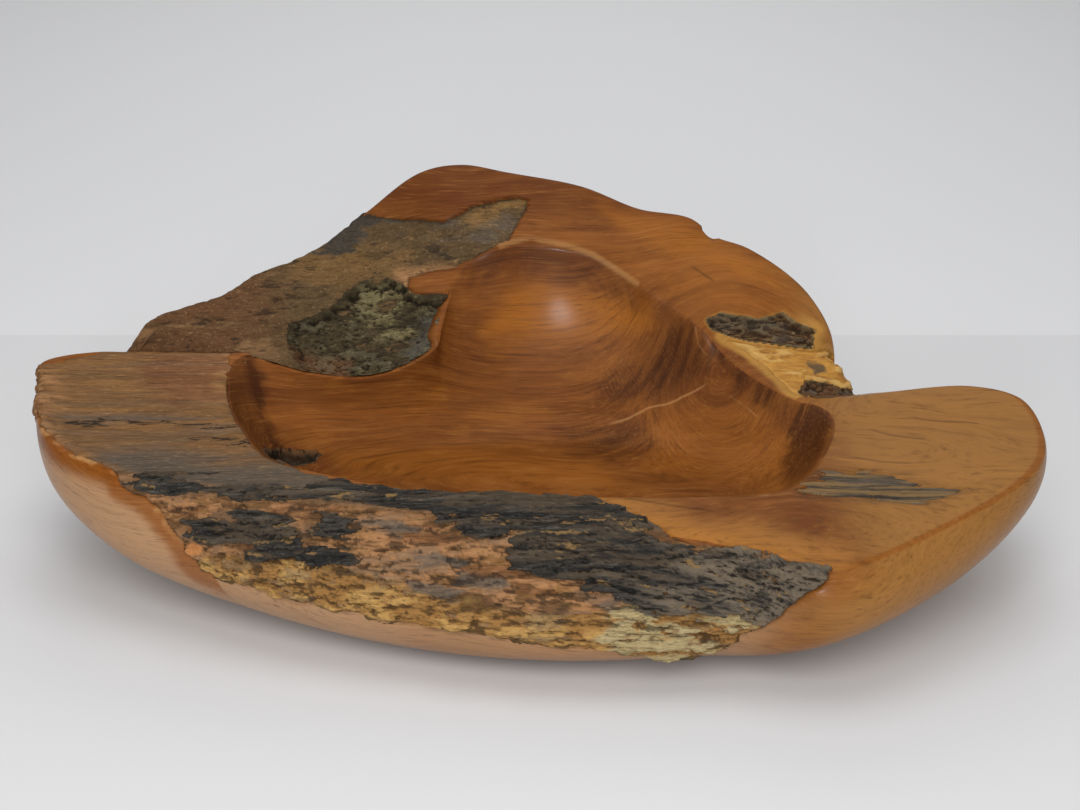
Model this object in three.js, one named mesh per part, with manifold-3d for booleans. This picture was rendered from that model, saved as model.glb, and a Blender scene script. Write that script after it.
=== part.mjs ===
// Live edge bowl carved from one block of root wood: polished heartwood with the weathered sapwood
// rind and pieces of bark left on it. Millimetres, +Z up, resting on its flat sole.
import * as THREE from 'three';
import { mergeVertices } from 'three/addons/utils/BufferGeometryUtils.js';
import Module from 'manifold-3d';

// The flat the bowl rests on: centre and half sizes of an oval
const SOLE_CENTRE = new THREE.Vector3(0, 5, 0);
const SOLE_HALF_LENGTH = 100;
const SOLE_HALF_WIDTH = 52;

// The hollow: lowest point, the oval its floor rounds towards, and how fast its walls rise
const FLOOR = new THREE.Vector3(-5, 40, 46);
const FLOOR_HALF_LENGTH = 150;
const FLOOR_HALF_WIDTH = 70;
const FLOOR_START_TURN = -0.12;
const FLOOR_ROUNDNESS = 3;
const FLOOR_FLAT = 0.3;
const STEEP_SCOOP = 5.4;
const GENTLE_SCOOP = 4.2;
const LOW_RIM = 90;
const HIGH_RIM = 140;

// Lower down, the walls follow the rim with its bumps averaged out over so many samples each way
const RIM_CLOSENESS = 12;
const RIM_AVERAGE = 30;
const AVERAGE_PASSES = 2;

// Under the high rim at the back the wall is hollowed out below a lip, which dies away to the left
const LIP_UNDERCUT = 1.5;
const LIP_CLOSENESS = 8;
const LIP_LEFT_END = -62;
const LIP_FULL = -22;

// The outside: height of the belly as a share of the edge, and how far the heel follows edge and belly
const BELLY_HEIGHT = 0.48;
const HEEL_REACH = 0.34;
const HEEL_FULLNESS = 0.65;

// How far the hand-sanded corners are rounded over
const RIM_EASE = 4;
const EDGE_EASE = 7;
const MOST_EASE = 0.45;

// The ends of both decks keep a crisp edge: between these ribs, fading in and out over part of a rib
const CRISP_EASE = 2;
const CRISP_RIBS = [[25.4, 30.4], [34.6, 41.4]];
const CRISP_FADE = 0.8;

// Rind and bark sit in seats cut into what lies under them, with a small gap under and beside them
const SEAT_GAP = 0.45;
const SEAT_SIDE_GAP = 0.8;
const SEAT_CLEARANCE = 6;

// Mesh density
const STEPS_PER_RIB = 3;
const RIM_SAMPLES = 760;
const HOLLOW_LEVELS = [0.25, 0.45, 0.6, 0.73, 0.83, 0.91, 0.97];
const DECK_LEVELS = [1, 1.08, 1.3, 1.65, 1.86, 1.95];
const OUTSIDE_LEVELS = [2, 2.03, 2.1, 2.22, 2.36, 2.52, 2.7, 2.86, 3];

// Ribs, anticlockwise from the right tip seen from above: where the rib crosses the rim of the
// hollow, where it crosses the outer edge, and how far the belly swells out below that edge
const RIBS = [
  { rim: [157, 32, 83], edge: [268, 20, 83], belly: 12 }, // right tip
  { rim: [156, 46, 84], edge: [264, 60, 87], belly: 6 },
  { rim: [151, 56, 84], edge: [240, 75, 87], belly: 4 },
  { rim: [145, 62, 84], edge: [192, 75, 83], belly: 20 }, // back corner of the right deck
  { rim: [136, 67, 86], edge: [178, 90, 76], belly: 30 },
  { rim: [123, 78, 89], edge: [170, 102, 88], belly: 30 }, // knot
  { rim: [111, 90, 93], edge: [161, 107, 95], belly: 30 },
  { rim: [102, 99, 98], edge: [165, 112, 105], belly: 26 },
  { rim: [91, 105, 109], edge: [154, 133, 123], belly: 18 },
  { rim: [75, 115, 119], edge: [123, 152, 142], belly: 12 },
  { rim: [61, 121, 127], edge: [103, 160, 147], belly: 12 }, // notch in the crest
  { rim: [49, 128, 133], edge: [89, 166, 156], belly: 10 },
  { rim: [32, 134, 142], edge: [59, 171, 160], belly: 10 },
  { rim: [8, 138, 147], edge: [24, 178, 172], belly: 10 },
  { rim: [-12, 137, 148], edge: [-20, 180, 180], belly: 10 },
  { rim: [-26, 133, 146], edge: [-47, 178, 185], belly: 10 }, // top of the crest
  { rim: [-40, 130, 140], edge: [-71, 175, 181], belly: 10 },
  { rim: [-50, 122, 130], edge: [-100, 168, 161], belly: 10 },
  { rim: [-55, 102, 115], edge: [-117, 162, 148], belly: 10 },
  { rim: [-57, 92, 106], edge: [-136, 156, 136], belly: 10 }, // nose between the two lobes of the hollow
  { rim: [-78, 84, 95], edge: [-168, 147, 127], belly: 10 },
  { rim: [-106, 82, 90], edge: [-181, 143, 119], belly: 10 },
  { rim: [-139, 90, 92], edge: [-209, 134, 110], belly: 10 },
  { rim: [-154, 96, 95], edge: [-228, 127, 105], belly: 12 }, // tip of the left wing
  { rim: [-160, 97, 97], edge: [-243, 116, 82], belly: 18 }, // fold behind the left deck
  { rim: [-166, 97, 97], edge: [-247, 104, 95], belly: 14 },
  { rim: [-172, 88, 95], edge: [-280, 92, 95], belly: 8 }, // left tip
  { rim: [-174, 74, 92], edge: [-275, 65, 91], belly: 8 },
  { rim: [-170, 51, 89], edge: [-270, 34, 89], belly: 15 },
  { rim: [-159, 22, 88], edge: [-252, -1, 86], belly: 28 },
  { rim: [-142, -12, 87], edge: [-216, -24, 83], belly: 47 }, // left end of the front face
  { rim: [-106, -31, 86], edge: [-145, -43, 83], belly: 60 },
  { rim: [-60, -45, 85], edge: [-70, -53, 82], belly: 66 },
  { rim: [5, -47, 83], edge: [0, -61, 80], belly: 70 },
  { rim: [80, -46, 82], edge: [78, -76, 77], belly: 67 },
  { rim: [120, -41, 82], edge: [138, -101, 72], belly: 44 }, // right end of the front face
  { rim: [137, -24, 82], edge: [202, -66, 76], belly: 37 },
  { rim: [149, 4, 82], edge: [254, -18, 81], belly: 19 },
];

// Rind and bark pieces. An outline point is [rib, level]; level runs from 0 at the floor of the
// hollow, 1 at its rim, 2 at the outer edge, to 3 at the sole. Depth and proud are from the surface.
const PIECES = [
  {
    name: 'live_edge_rind', tissue: 'weathered_sapwood', depth: 5, proud: 0, rings: 5, steps: 60,
    outline: [[26.2, 1.88], [25.4, 1.67], [25.1, 1.2], [26.5, 1.07], [28, 1.07], [29.4, 1.12], [30.5, 1.3],
      [32, 1.36], [33.5, 1.36], [34.2, 1.62], [34.92, 1.96], [34.5, 2.18], [34, 2.46], [33.3, 2.58],
      [32.2, 2.48], [31.2, 2.34], [30.5, 2.12], [29.9, 2], [28.6, 1.96], [27.4, 1.94]],
  },
  {
    name: 'rear_wing_rind', tissue: 'weathered_sapwood', depth: 7, proud: -1.5, rings: 3, steps: 54,
    outline: [[17.9, 1.94], [17.1, 1.9], [16.7, 1.72], [16, 1.5], [15.2, 1.48], [13.9, 1.62], [14.4, 1.15],
      [15.4, 1.08], [16.6, 1.1], [17.5, 1.08], [18.6, 1.07], [20.6, 1.07], [21.4, 1.12], [21.9, 1.3],
      [23.1, 1.45], [23.4, 1.9], [22.8, 1.95], [21, 1.95], [19.4, 1.95]],
  },
  {
    name: 'knot_sapwood', tissue: 'pale_sapwood', depth: 5, proud: 0, rings: 3, steps: 36,
    outline: [[7.7, 1.2], [7.6, 1.5], [7, 1.88], [6, 1.92], [5.2, 1.92], [4.75, 1.88], [4.7, 1.55], [4.8, 1.2],
      [5.6, 1.14], [6.8, 1.13]],
  },
  {
    name: 'front_bark_band', tissue: 'bark', depth: 1.6, proud: 1, rings: 2, steps: 40,
    outline: [[30, 1.95], [30.3, 1.74], [31.6, 1.56], [32.2, 1.52], [32.2, 1.96], [31.5, 2.03], [30.8, 2.04],
      [30.2, 2.04]],
  },
  {
    name: 'front_bark_mass', tissue: 'bark', depth: 1.6, proud: 1.4, rings: 3, steps: 44,
    outline: [[32.4, 1.6], [33.1, 1.54], [33.6, 1.54], [34.1, 1.7], [34.55, 1.9], [34.8, 2.02], [34.5, 2.14],
      [34.1, 2.24], [33.6, 2.2], [33.1, 2.14], [32.7, 2.07], [32.4, 2]],
  },
  {
    name: 'front_bark_scab_left', tissue: 'bark', depth: 1.6, proud: 1.2, rings: 2, steps: 30,
    outline: [[30.6, 2.1], [30.9, 2.07], [31.2, 2.08], [31.5, 2.13], [31.75, 2.18], [31.5, 2.23], [31.1, 2.25],
      [30.8, 2.2]],
  },
  {
    name: 'front_bark_scab_small', tissue: 'bark', depth: 1.6, proud: 1, rings: 2, steps: 20,
    outline: [[31.55, 2.07], [31.7, 2.05], [31.88, 2.07], [31.85, 2.11], [31.65, 2.11]],
  },
  {
    name: 'rear_bark_scar', tissue: 'crumbled_bark', depth: 5.5, proud: -3, rings: 3, steps: 36,
    outline: [[20.7, 1.55], [19.9, 1.52], [18.8, 1.53], [17.9, 1.37], [17.7, 1.16], [18.8, 1.13], [19.9, 1.13],
      [20.9, 1.15], [21.3, 1.28]],
  },
  {
    name: 'knot_bark_pocket', tissue: 'crumbled_bark', depth: 6, proud: -2, rings: 2, steps: 30,
    outline: [[8.1, 1.3], [7.6, 1.5], [7.5, 1.68], [7, 1.84], [6.6, 1.78], [6.9, 1.55], [7.4, 1.27], [7.8, 1.2]],
  },
  {
    name: 'knot_bark_sliver', tissue: 'crumbled_bark', depth: 4, proud: -0.5, rings: 2, steps: 24,
    outline: [[4.3, 1.25], [4.5, 1.5], [4.4, 1.75], [4.15, 1.9], [3.8, 1.6]],
  },
  {
    name: 'right_deck_bark_streak', tissue: 'bark', depth: 3, proud: -0.3, rings: 2, steps: 30,
    outline: [[35.4, 1.1], [36.2, 1.18], [36.5, 1.47], [36.4, 1.75], [36.1, 1.7], [35.8, 1.37], [35.5, 1.18]],
  },
  {
    name: 'hollow_bark_pocket', tissue: 'crumbled_bark', depth: 4, proud: -1, rings: 2, steps: 24,
    outline: [[29.1, 0.94], [27.8, 0.88], [26.7, 0.83], [25.7, 0.79], [27.2, 0.79], [28.3, 0.84], [28.9, 0.91]],
  },
];

const TISSUES = {
  heartwood: { color: '#8a4e24', roughness: 0.38, metalness: 0 },
  weathered_sapwood: { color: '#6f5a3e', roughness: 0.85, metalness: 0 },
  pale_sapwood: { color: '#b98a45', roughness: 0.6, metalness: 0 },
  bark: { color: '#37342f', roughness: 0.9, metalness: 0 },
  crumbled_bark: { color: '#3f3626', roughness: 0.95, metalness: 0 },
};

const wasm = await Module();
wasm.setup();

const closedCurve = (points) => new THREE.CatmullRomCurve3(points, true, 'centripetal');

// The point of the sole's oval that lies under a point of the outer edge
function soleUnder(edge) {
  const turn = Math.atan2(
    (edge.y - SOLE_CENTRE.y) / SOLE_HALF_WIDTH,
    (edge.x - SOLE_CENTRE.x) / SOLE_HALF_LENGTH,
  );
  return new THREE.Vector3(SOLE_HALF_LENGTH * Math.cos(turn), SOLE_HALF_WIDTH * Math.sin(turn), 0).add(SOLE_CENTRE);
}

// Long curves that run round the bowl through the same place on every rib
function runCurves() {
  const rims = RIBS.map((rib) => new THREE.Vector3(...rib.rim));
  const edges = RIBS.map((rib) => new THREE.Vector3(...rib.edge));
  const soles = edges.map(soleUnder);
  const outward = edges.map((edge) => edge.clone().sub(FLOOR).setZ(0).normalize());
  const bellies = edges.map((edge, i) =>
    edge.clone().addScaledVector(outward[i], RIBS[i].belly).setZ(edge.z * BELLY_HEIGHT));
  const heels = soles.map((sole, i) =>
    sole.clone().lerp(edges[i].clone().setZ(0), HEEL_REACH).addScaledVector(outward[i], HEEL_FULLNESS * RIBS[i].belly));
  return {
    rim: closedCurve(rims),
    edge: closedCurve(edges),
    belly: closedCurve(bellies),
    heel: closedCurve(heels),
    sole: closedCurve(soles),
  };
}

const curves = runCurves();
curves.rim.arcLengthDivisions = RIM_SAMPLES;
const rimLengths = curves.rim.getLengths();
const shareRound = (rib) => THREE.MathUtils.euclideanModulo(rib / RIBS.length, 1);

// How far along the rim a rib stands, as a share of the rim's whole length
function rimShare(share) {
  const step = share * RIM_SAMPLES;
  const before = Math.floor(step);
  const length = THREE.MathUtils.lerp(rimLengths[before], rimLengths[before + 1], step - before);
  return length / rimLengths[RIM_SAMPLES];
}

// The rim with its bumps averaged out, evenly spaced along its length
function averagedRim() {
  let points = curves.rim.getSpacedPoints(RIM_SAMPLES).slice(0, RIM_SAMPLES);
  for (let pass = 0; pass < AVERAGE_PASSES; pass += 1) {
    const last = points;
    points = last.map((_, i) => {
      const sum = new THREE.Vector3();
      for (let step = -RIM_AVERAGE; step <= RIM_AVERAGE; step += 1) {
        sum.add(last[(i + step + RIM_SAMPLES) % RIM_SAMPLES]);
      }
      return sum.divideScalar(2 * RIM_AVERAGE + 1);
    });
  }
  return points;
}

const softRim = averagedRim();

function softRimPoint(length) {
  const step = length * RIM_SAMPLES;
  const before = Math.floor(step) % RIM_SAMPLES;
  return softRim[before].clone().lerp(softRim[(before + 1) % RIM_SAMPLES], step % 1);
}

// The hollow's wall: an oval near the floor that takes on the shape of the rim as it rises
function hollowPoint(share, level) {
  const length = rimShare(share);
  const soft = softRimPoint(length);
  const high = THREE.MathUtils.smoothstep(soft.z, LOW_RIM, HIGH_RIM);
  const lip = high * THREE.MathUtils.smoothstep(soft.x, LIP_LEFT_END, LIP_FULL);
  const rim = soft.lerp(curves.rim.getPoint(share), level ** RIM_CLOSENESS);
  const turn = FLOOR_START_TURN + 2 * Math.PI * length;
  const oval = new THREE.Vector3(FLOOR_HALF_LENGTH * Math.cos(turn), FLOOR_HALF_WIDTH * Math.sin(turn), 0);
  const reach = oval.lerp(rim.clone().sub(FLOOR).setZ(0), level ** FLOOR_ROUNDNESS);
  const scoop = THREE.MathUtils.lerp(STEEP_SCOOP, GENTLE_SCOOP, high);
  const climb = Math.max(0, (level - FLOOR_FLAT) / (1 - FLOOR_FLAT));
  const rise = (rim.z - FLOOR.z) * climb ** scoop;
  const undercut = LIP_UNDERCUT * lip * level ** LIP_CLOSENESS * (1 - level);
  return FLOOR.clone().addScaledVector(reach, level + undercut).setZ(FLOOR.z + rise);
}

// The outside from edge to sole: one curved rib
function outsideCurve(share) {
  return new THREE.CubicBezierCurve3(
    curves.edge.getPoint(share), curves.belly.getPoint(share), curves.heel.getPoint(share), curves.sole.getPoint(share));
}

function sharpPoint(share, level) {
  if (level <= 1) return hollowPoint(share, level);
  if (level <= 2) return curves.rim.getPoint(share).lerp(curves.edge.getPoint(share), level - 1);
  return outsideCurve(share).getPoint(level - 2);
}

// How far the outer edge is rounded over at a rib
function edgeEase(rib) {
  const turns = [rib, rib + RIBS.length];
  const inside = CRISP_RIBS.flatMap(([start, end]) => turns.map((turn) => Math.min(turn - start, end - turn)));
  const crisp = THREE.MathUtils.clamp(Math.max(...inside) / CRISP_FADE, 0, 1);
  return THREE.MathUtils.lerp(EDGE_EASE, CRISP_EASE, crisp);
}

// A point on the finished surface, with the rim and the outer edge rounded over
function surfacePoint(rib, level) {
  const share = shareRound(rib);
  const deck = curves.rim.getPoint(share).distanceTo(curves.edge.getPoint(share));
  const span = 0.05;
  for (const [corner, ease] of [[1, RIM_EASE], [2, edgeEase(share * RIBS.length)]]) {
    const inside = corner === 1 ? sharpPoint(share, 1 - span).distanceTo(sharpPoint(share, 1)) / span : deck;
    const beyond = corner === 2 ? sharpPoint(share, 2).distanceTo(sharpPoint(share, 2 + span)) / span : deck;
    const start = corner - Math.min(ease / inside, MOST_EASE);
    const end = corner + Math.min(ease / beyond, MOST_EASE);
    if (level > start && level < end) {
      const rounded = new THREE.QuadraticBezierCurve3(
        sharpPoint(share, start), sharpPoint(share, corner), sharpPoint(share, end));
      return rounded.getPoint((level - start) / (end - start));
    }
  }
  return sharpPoint(share, level);
}

function surfaceNormal(rib, level) {
  const along = surfacePoint(rib + 0.06, level).sub(surfacePoint(rib - 0.06, level));
  const across = surfacePoint(rib, level + 0.012).sub(surfacePoint(rib, level - 0.012));
  return across.cross(along).normalize();
}

// Closed mesh from a stack of equal rings, with a cap point at each end
function ringSolid(first, rings, last) {
  const round = rings[0].length;
  const points = [first, ...rings.flat(), last];
  const faces = [];
  const at = (ring, step) => 1 + ring * round + (step % round);
  for (let step = 0; step < round; step += 1) {
    faces.push(0, at(0, step), at(0, step + 1));
    for (let ring = 0; ring + 1 < rings.length; ring += 1) {
      faces.push(at(ring, step), at(ring + 1, step), at(ring + 1, step + 1));
      faces.push(at(ring, step), at(ring + 1, step + 1), at(ring, step + 1));
    }
    faces.push(points.length - 1, at(rings.length - 1, step + 1), at(rings.length - 1, step));
  }
  const geometry = new THREE.BufferGeometry().setFromPoints(points);
  geometry.setIndex(faces);
  return geometry;
}

function bowlGeometry() {
  const count = RIBS.length * STEPS_PER_RIB;
  const rings = [...HOLLOW_LEVELS, ...DECK_LEVELS, ...OUTSIDE_LEVELS].map((level) =>
    Array.from({ length: count }, (_, step) => surfacePoint(step / STEPS_PER_RIB, level)));
  return ringSolid(FLOOR, rings, SOLE_CENTRE);
}

// A shell of rind or bark that follows the surface inside its outline, from a top height down to a
// bottom height. Spread beyond its outline it cuts its own seat
function shellGeometry(piece, top, bottom, spread) {
  const corners = piece.outline.map(([rib, level]) => new THREE.Vector2(rib, level));
  if (THREE.ShapeUtils.area(corners) > 0) corners.reverse();
  const border = new THREE.CatmullRomCurve3(corners.map((c) => new THREE.Vector3(c.x, c.y, 0)), true, 'catmullrom', 0.5);
  const middle = corners.reduce((sum, c) => sum.add(c), new THREE.Vector2()).divideScalar(corners.length);
  const chart = Array.from({ length: piece.steps }, (_, step) => border.getPoint(step / piece.steps));
  const sideways = chart.map((c, step) => {
    const next = chart[(step + 1) % chart.length];
    const last = chart[(step + chart.length - 1) % chart.length];
    const along = surfacePoint(next.x, next.y).sub(surfacePoint(last.x, last.y));
    return along.cross(surfaceNormal(c.x, c.y)).normalize().multiplyScalar(spread);
  });
  const ringAt = (share, height) => chart.map((c, step) => {
    const rib = THREE.MathUtils.lerp(middle.x, c.x, share);
    const level = THREE.MathUtils.lerp(middle.y, c.y, share);
    return surfacePoint(rib, level)
      .addScaledVector(surfaceNormal(rib, level), height)
      .addScaledVector(sideways[step], share === 1 ? 1 : 0);
  });
  const shares = Array.from({ length: piece.rings }, (_, k) => (k + 1) / piece.rings);
  const rings = [
    ...shares.map((share) => ringAt(share, top)),
    ...[...shares].reverse().map((share) => ringAt(share, bottom)),
  ];
  const centre = (height) => surfacePoint(middle.x, middle.y).addScaledVector(surfaceNormal(middle.x, middle.y), height);
  return ringSolid(centre(top), rings, centre(bottom));
}

function solidFrom(geometry) {
  const bare = new THREE.BufferGeometry().setAttribute('position', geometry.getAttribute('position'));
  const merged = mergeVertices(bare.setIndex(geometry.index), 1e-4);
  return new wasm.Manifold(new wasm.Mesh({
    numProp: 3,
    vertProperties: new Float32Array(merged.getAttribute('position').array),
    triVerts: new Uint32Array(merged.index.array),
  }));
}

function meshFrom(name, tissue, solid) {
  const made = solid.getMesh();
  const geometry = new THREE.BufferGeometry();
  geometry.setAttribute('position', new THREE.Float32BufferAttribute(made.vertProperties, made.numProp));
  geometry.setIndex(new THREE.Uint32BufferAttribute(made.triVerts, 1));
  geometry.computeVertexNormals();
  const mesh = new THREE.Mesh(geometry, new THREE.MeshStandardMaterial(TISSUES[tissue]));
  mesh.name = name;
  return mesh;
}

// A flush piece is pared out of the carved block itself; the others are shells laid over or sunk into it
function pieceSolid(piece, block) {
  if (piece.proud === 0) return block.intersect(solidFrom(shellGeometry(piece, SEAT_CLEARANCE, -piece.depth, 0)));
  return solidFrom(shellGeometry(piece, piece.proud, -piece.depth, 0));
}

// Each piece is let into everything that was laid down before it
const block = solidFrom(bowlGeometry());
const laid = [{ name: 'heartwood_bowl', tissue: 'heartwood', solid: block }];
for (const piece of PIECES) {
  const seat = solidFrom(shellGeometry(piece, SEAT_CLEARANCE + SEAT_GAP, -piece.depth - SEAT_GAP, SEAT_SIDE_GAP));
  for (const host of laid) host.solid = host.solid.subtract(seat);
  laid.push({ ...piece, solid: pieceSolid(piece, block) });
}

const group = new THREE.Group();
group.name = 'live_edge_bowl';
for (const { name, tissue, solid } of laid) group.add(meshFrom(name, tissue, solid));

// Stand the bowl with the middle of its footprint over the origin
const box = new THREE.Box3().setFromObject(group);
const middle = box.getCenter(new THREE.Vector3());
for (const mesh of group.children) mesh.geometry.translate(-middle.x, -middle.y, -box.min.z);

export default group;
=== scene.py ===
# Live edge bowl carved from one block of root wood: its looks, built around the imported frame.
# Shapes are worked out in millimetres in the carver's frame, then placed in metres.
import math

import bpy
import numpy as np
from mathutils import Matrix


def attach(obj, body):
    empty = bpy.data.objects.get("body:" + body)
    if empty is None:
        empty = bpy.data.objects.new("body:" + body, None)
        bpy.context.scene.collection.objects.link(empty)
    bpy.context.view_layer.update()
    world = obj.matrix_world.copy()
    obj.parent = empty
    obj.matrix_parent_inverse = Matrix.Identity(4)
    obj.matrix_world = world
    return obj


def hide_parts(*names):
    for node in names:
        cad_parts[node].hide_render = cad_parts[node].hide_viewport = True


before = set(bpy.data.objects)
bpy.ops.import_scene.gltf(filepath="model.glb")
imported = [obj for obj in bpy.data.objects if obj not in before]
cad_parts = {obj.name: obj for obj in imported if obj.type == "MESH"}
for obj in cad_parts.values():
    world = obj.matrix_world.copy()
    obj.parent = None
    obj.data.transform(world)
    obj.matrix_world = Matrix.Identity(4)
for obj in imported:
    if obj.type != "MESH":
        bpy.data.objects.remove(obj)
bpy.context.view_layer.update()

# Where the middle of the bowl's footprint lies in the carver's frame
MIDDLE = np.array([-5.745, 35.169, 0.0])
METRE = 1000.0

# The photograph: its size in pixels and the camera that took it
PHOTO_WIDTH = 1080
PHOTO_HEIGHT = 810
FOCAL_PIXELS = 1900
CAMERA_PITCH = math.radians(25)
CAMERA_AWAY = 980
AIM = np.array([0.0, 0.0, 110.0])
FORWARD = np.array([0.0, math.cos(CAMERA_PITCH), -math.sin(CAMERA_PITCH)])
UPWARD = np.array([0.0, math.sin(CAMERA_PITCH), math.cos(CAMERA_PITCH)])
EYE = AIM - CAMERA_AWAY * FORWARD

# The sole, the hollow and the outside, as carved
SOLE_CENTRE = np.array([0.0, 5.0, 0.0])
SOLE_HALF = np.array([100.0, 52.0])
FLOOR = np.array([-5.0, 40.0, 46.0])
FLOOR_HALF = np.array([150.0, 70.0])
FLOOR_START_TURN = -0.12
FLOOR_ROUNDNESS = 3
RIM_CLOSENESS = 12
RIM_AVERAGE = 30
AVERAGE_PASSES = 2
FLOOR_FLAT = 0.3
STEEP_SCOOP = 5.4
GENTLE_SCOOP = 4.2
LOW_RIM = 90
HIGH_RIM = 140
LIP_UNDERCUT = 1.5
LIP_CLOSENESS = 8
LIP_LEFT_END = -62
LIP_FULL = -22
BELLY_HEIGHT = 0.48
HEEL_REACH = 0.34
HEEL_FULLNESS = 0.65
RIM_EASE = 4
EDGE_EASE = 7
CRISP_EASE = 2
CRISP_RIBS = ((25.4, 30.4), (34.6, 41.4))
CRISP_FADE = 0.8
MOST_EASE = 0.45
SLOPE_SPAN = 0.05

# Ribs, anticlockwise from the right tip: rim of the hollow, outer edge, swell of the belly
RIBS = [
    ((157, 32, 83), (268, 20, 83), 12),
    ((156, 46, 84), (264, 60, 87), 6),
    ((151, 56, 84), (240, 75, 87), 4),
    ((145, 62, 84), (192, 75, 83), 20),
    ((136, 67, 86), (178, 90, 76), 30),
    ((123, 78, 89), (170, 102, 88), 30),
    ((111, 90, 93), (161, 107, 95), 30),
    ((102, 99, 98), (165, 112, 105), 26),
    ((91, 105, 109), (154, 133, 123), 18),
    ((75, 115, 119), (123, 152, 142), 12),
    ((61, 121, 127), (103, 160, 147), 12),
    ((49, 128, 133), (89, 166, 156), 10),
    ((32, 134, 142), (59, 171, 160), 10),
    ((8, 138, 147), (24, 178, 172), 10),
    ((-12, 137, 148), (-20, 180, 180), 10),
    ((-26, 133, 146), (-47, 178, 185), 10),
    ((-40, 130, 140), (-71, 175, 181), 10),
    ((-50, 122, 130), (-100, 168, 161), 10),
    ((-55, 102, 115), (-117, 162, 148), 10),
    ((-57, 92, 106), (-136, 156, 136), 10),
    ((-78, 84, 95), (-168, 147, 127), 10),
    ((-106, 82, 90), (-181, 143, 119), 10),
    ((-139, 90, 92), (-209, 134, 110), 10),
    ((-154, 96, 95), (-228, 127, 105), 12),
    ((-160, 97, 97), (-243, 116, 82), 18),
    ((-166, 97, 97), (-247, 104, 95), 14),
    ((-172, 88, 95), (-280, 92, 95), 8),
    ((-174, 74, 92), (-275, 65, 91), 8),
    ((-170, 51, 89), (-270, 34, 89), 15),
    ((-159, 22, 88), (-252, -1, 86), 28),
    ((-142, -12, 87), (-216, -24, 83), 47),
    ((-106, -31, 86), (-145, -43, 83), 60),
    ((-60, -45, 85), (-70, -53, 82), 66),
    ((5, -47, 83), (0, -61, 80), 70),
    ((80, -46, 82), (78, -76, 77), 67),
    ((120, -41, 82), (138, -101, 72), 44),
    ((137, -24, 82), (202, -66, 76), 37),
    ((149, 4, 82), (254, -18, 81), 19),
]
RIB_COUNT = len(RIBS)

# Outlines of tissue and of the tones on it, in pixels of the photograph
FRONT_RIND = [
    (30, 366), (100, 352), (180, 344), (236, 346), (228, 362), (228, 388), (238, 420), (262, 453),
    (302, 471), (350, 483), (430, 492), (520, 495), (591, 497), (622, 508), (655, 526), (697, 546),
    (745, 546), (790, 559), (836, 567), (826, 580), (800, 600), (770, 622), (735, 644), (712, 654),
    (660, 658), (560, 648), (480, 638), (400, 624), (300, 604), (250, 590), (205, 572), (186, 556),
    (176, 540), (160, 514), (138, 497), (121, 486), (113, 470), (70, 452), (44, 430), (26, 400),
]
WING_RIND = [
    (345, 222), (370, 215), (400, 219), (440, 219), (476, 205), (520, 194), (531, 198), (510, 238),
    (487, 252), (455, 267), (425, 272), (408, 277), (410, 291), (446, 294), (462, 300), (462, 340),
    (440, 352), (400, 372), (350, 386), (290, 378), (240, 366), (110, 364), (110, 330), (150, 306),
    (200, 284), (240, 256), (290, 244),
]
WING_SCAR = [
    (287, 324), (330, 312), (348, 296), (365, 282), (392, 280), (408, 288), (404, 294), (446, 295),
    (466, 300), (466, 340), (440, 354), (400, 372), (350, 384), (300, 374), (291, 350),
]
KNOT = [
    (722, 338), (760, 346), (800, 350), (826, 350), (842, 362), (848, 380), (866, 391), (830, 398),
    (815, 403), (790, 390), (768, 368), (745, 350),
]
KNOT_POCKET = [
    (707, 320), (720, 314), (760, 320), (782, 313), (815, 330), (813, 348), (790, 346), (740, 339),
    (714, 331),
]
KNOT_SLIVER = [(797, 391), (808, 380), (830, 384), (868, 393), (845, 396), (815, 397)]
KNOT_MARK = [(811, 361), (826, 364), (828, 373), (814, 374)]
DECK_STREAK = [(790, 487), (815, 475), (845, 469), (900, 477), (960, 492), (920, 503), (860, 498), (800, 494)]
HOLLOW_POCKET = [(262, 449), (325, 451), (312, 462), (292, 467), (270, 458)]
FRONT_BAND = [
    (120, 474), (159, 472), (196, 482), (230, 488), (262, 487), (298, 489), (312, 482), (345, 481),
    (390, 490), (440, 493), (501, 494), (560, 495), (591, 497), (622, 509), (640, 520), (600, 527),
    (560, 533), (510, 531), (478, 541), (452, 530), (420, 515), (382, 508), (340, 502), (284, 500),
    (234, 500), (195, 497), (150, 493), (128, 489),
]
FRONT_MASS = [
    (516, 545), (545, 530), (600, 512), (637, 524), (667, 538), (697, 547), (743, 545), (788, 556),
    (850, 564), (846, 584), (822, 604), (796, 622), (768, 628), (743, 611), (722, 621), (691, 611),
    (670, 615), (640, 606), (622, 595), (591, 594), (582, 581), (540, 576), (516, 570), (508, 558),
]
FRONT_SCAB = [
    (169, 519), (201, 518), (223, 520), (230, 508), (248, 509), (282, 516), (307, 532), (313, 545),
    (332, 546), (350, 560), (338, 570), (318, 566), (300, 558), (284, 559), (246, 559), (234, 545),
    (212, 543), (182, 532),
]
FRONT_SCAB_SMALL = [(310, 512), (330, 512), (352, 520), (356, 530), (347, 538), (326, 537), (312, 526)]
PURPLE_PATCHES = (
    [(368, 519), (400, 520), (424, 530), (410, 538), (372, 528)],
    [(396, 553), (440, 552), (470, 562), (450, 572), (404, 566)],
    [(418, 580), (460, 584), (472, 600), (450, 606), (424, 594)],
    [(468, 574), (505, 574), (514, 590), (494, 594), (468, 586)],
    [(608, 600), (632, 598), (636, 612), (614, 616)],
)
OLIVE_PATCHES = (
    [(456, 598), (500, 596), (514, 606), (500, 613), (464, 610)],
    [(538, 600), (560, 594), (580, 602), (570, 614), (545, 614)],
)
LICHEN = [
    (606, 612), (640, 608), (690, 612), (722, 618), (750, 608), (768, 616), (762, 632), (735, 644),
    (712, 656), (660, 662), (618, 654),
]
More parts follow.
